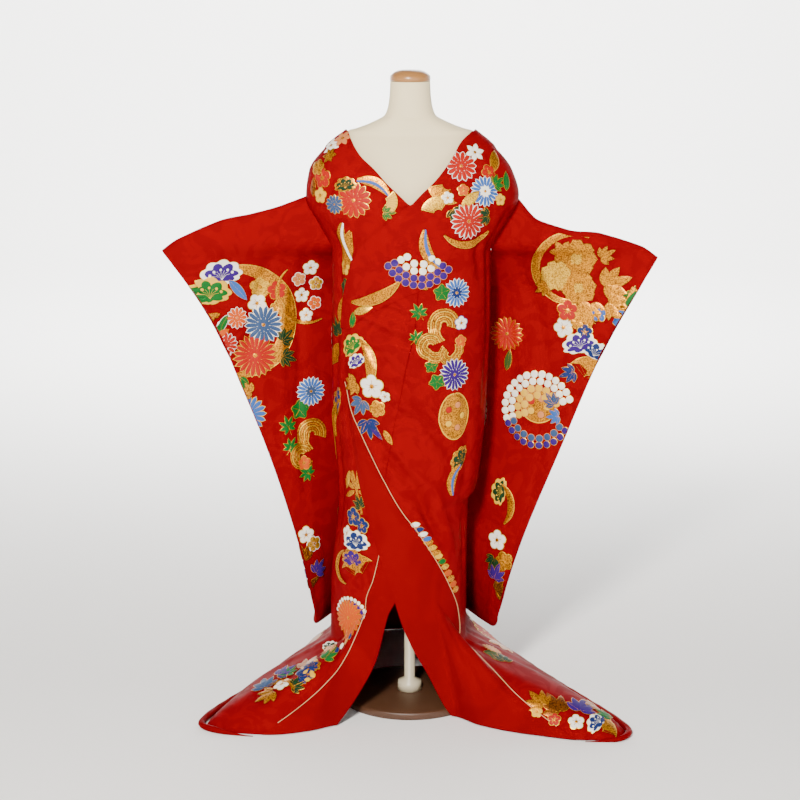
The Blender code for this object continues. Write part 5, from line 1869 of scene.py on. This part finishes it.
# %% [markdown]
# ## Floor, light and camera
# A round pale floor curves up into a wall, so that every side has the same background.
# A soft light stands close to the camera, a second fills the other side, one lights the
# wall and a weak one from behind lifts the edges, as in a catalogue photograph. The camera
# stands 4.6 m away with a long lens, so the two sleeves keep their true proportions.

# %% Stage
stage_material, _ = new_material("pale paper backdrop", "#FCFBF9", 0.9, IOR=1.45)
STAGE_RADIUS, COVE, WALL_TOP = 9.0, 2.0, 5.0
bend = np.linspace(0, np.pi / 2, 25)
cove = [(STAGE_RADIUS - COVE + COVE * np.sin(t), COVE * (1 - np.cos(t))) for t in bend]
backdrop = turned_piece("backdrop", [(0, 0), *cove, (STAGE_RADIUS, WALL_TOP)][::-1], stage_material)
backdrop.location.z = -0.0005
backdrop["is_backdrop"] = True
print("stage:", STAGE_RADIUS, "m out to the wall")


# %% Lights
def area_light(name, place, target, size, watts, colour="#FFFFFF"):
    data = bpy.data.lights.new(name, "AREA")
    data.shape = "DISK"
    data.size = size
    data.energy = watts
    data.color = linear(colour)[:3]
    lamp = bpy.data.objects.new(name, data)
    lamp.location = place
    lamp.visible_camera = False
    lamp.rotation_euler = (Vector(target) - Vector(place)).to_track_quat("-Z", "Y").to_euler()
    bpy.context.scene.collection.objects.link(lamp)
    return lamp


key = area_light("key", (-0.9, -4.3, 3.3), (0, 0, 0.80), 0.7, 480, "#FFFAF4")
fill = area_light("fill", (2.6, -3.8, 1.6), (0, 0, 0.7), 2.0, 34)
backdrop_light = area_light("backdrop light", (0, 4.0, 4.4), (0, 8.5, 0.4), 3.0, 1300)
rim = area_light("rim", (0.8, 3.4, 3.0), (0, 0, 0.8), 1.6, 30)
world = bpy.data.worlds.new("studio")
bpy.context.scene.world = world
world.use_nodes = True
sky = world.node_tree.nodes["Background"]
sky.inputs["Color"].default_value = linear("#FFFFFF")
sky.inputs["Strength"].default_value = 0.26

print("lights:", [lamp.name for lamp in (key, fill, backdrop_light, rim)])

# %% Camera
camera_data = bpy.data.cameras.new("camera")
camera_data.sensor_width = 36.0
camera_data.lens = 90.34
camera = bpy.data.objects.new("camera", camera_data)
camera.location = (-0.0232, -4.6, 1.75)
aim = Vector((-0.0232, 0.0, 0.7336))
camera.rotation_euler = (aim - camera.location).to_track_quat("-Z", "Y").to_euler()
bpy.context.scene.collection.objects.link(camera)
bpy.context.scene.camera = camera
print("camera:", round((aim - camera.location).length, 2), "m away")

# %% [markdown]
# ## Sizes
# The bounds of the solids, taken at the start, and of the finished scene are measured and printed.

# %% Measure and finish
size_at_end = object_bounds()


def plain(value):
    """Numbers and lists in place of arrays and vectors."""
    if isinstance(value, dict):
        return {key_: plain(item) for key_, item in value.items()}
    if isinstance(value, (str, int, float)) or value is None:
        return value
    return [plain(item) for item in value]


{"solids": plain(size_at_start), "scene": plain(size_at_end)}
print("solids", plain(size_at_start))
print("scene", plain(size_at_end))
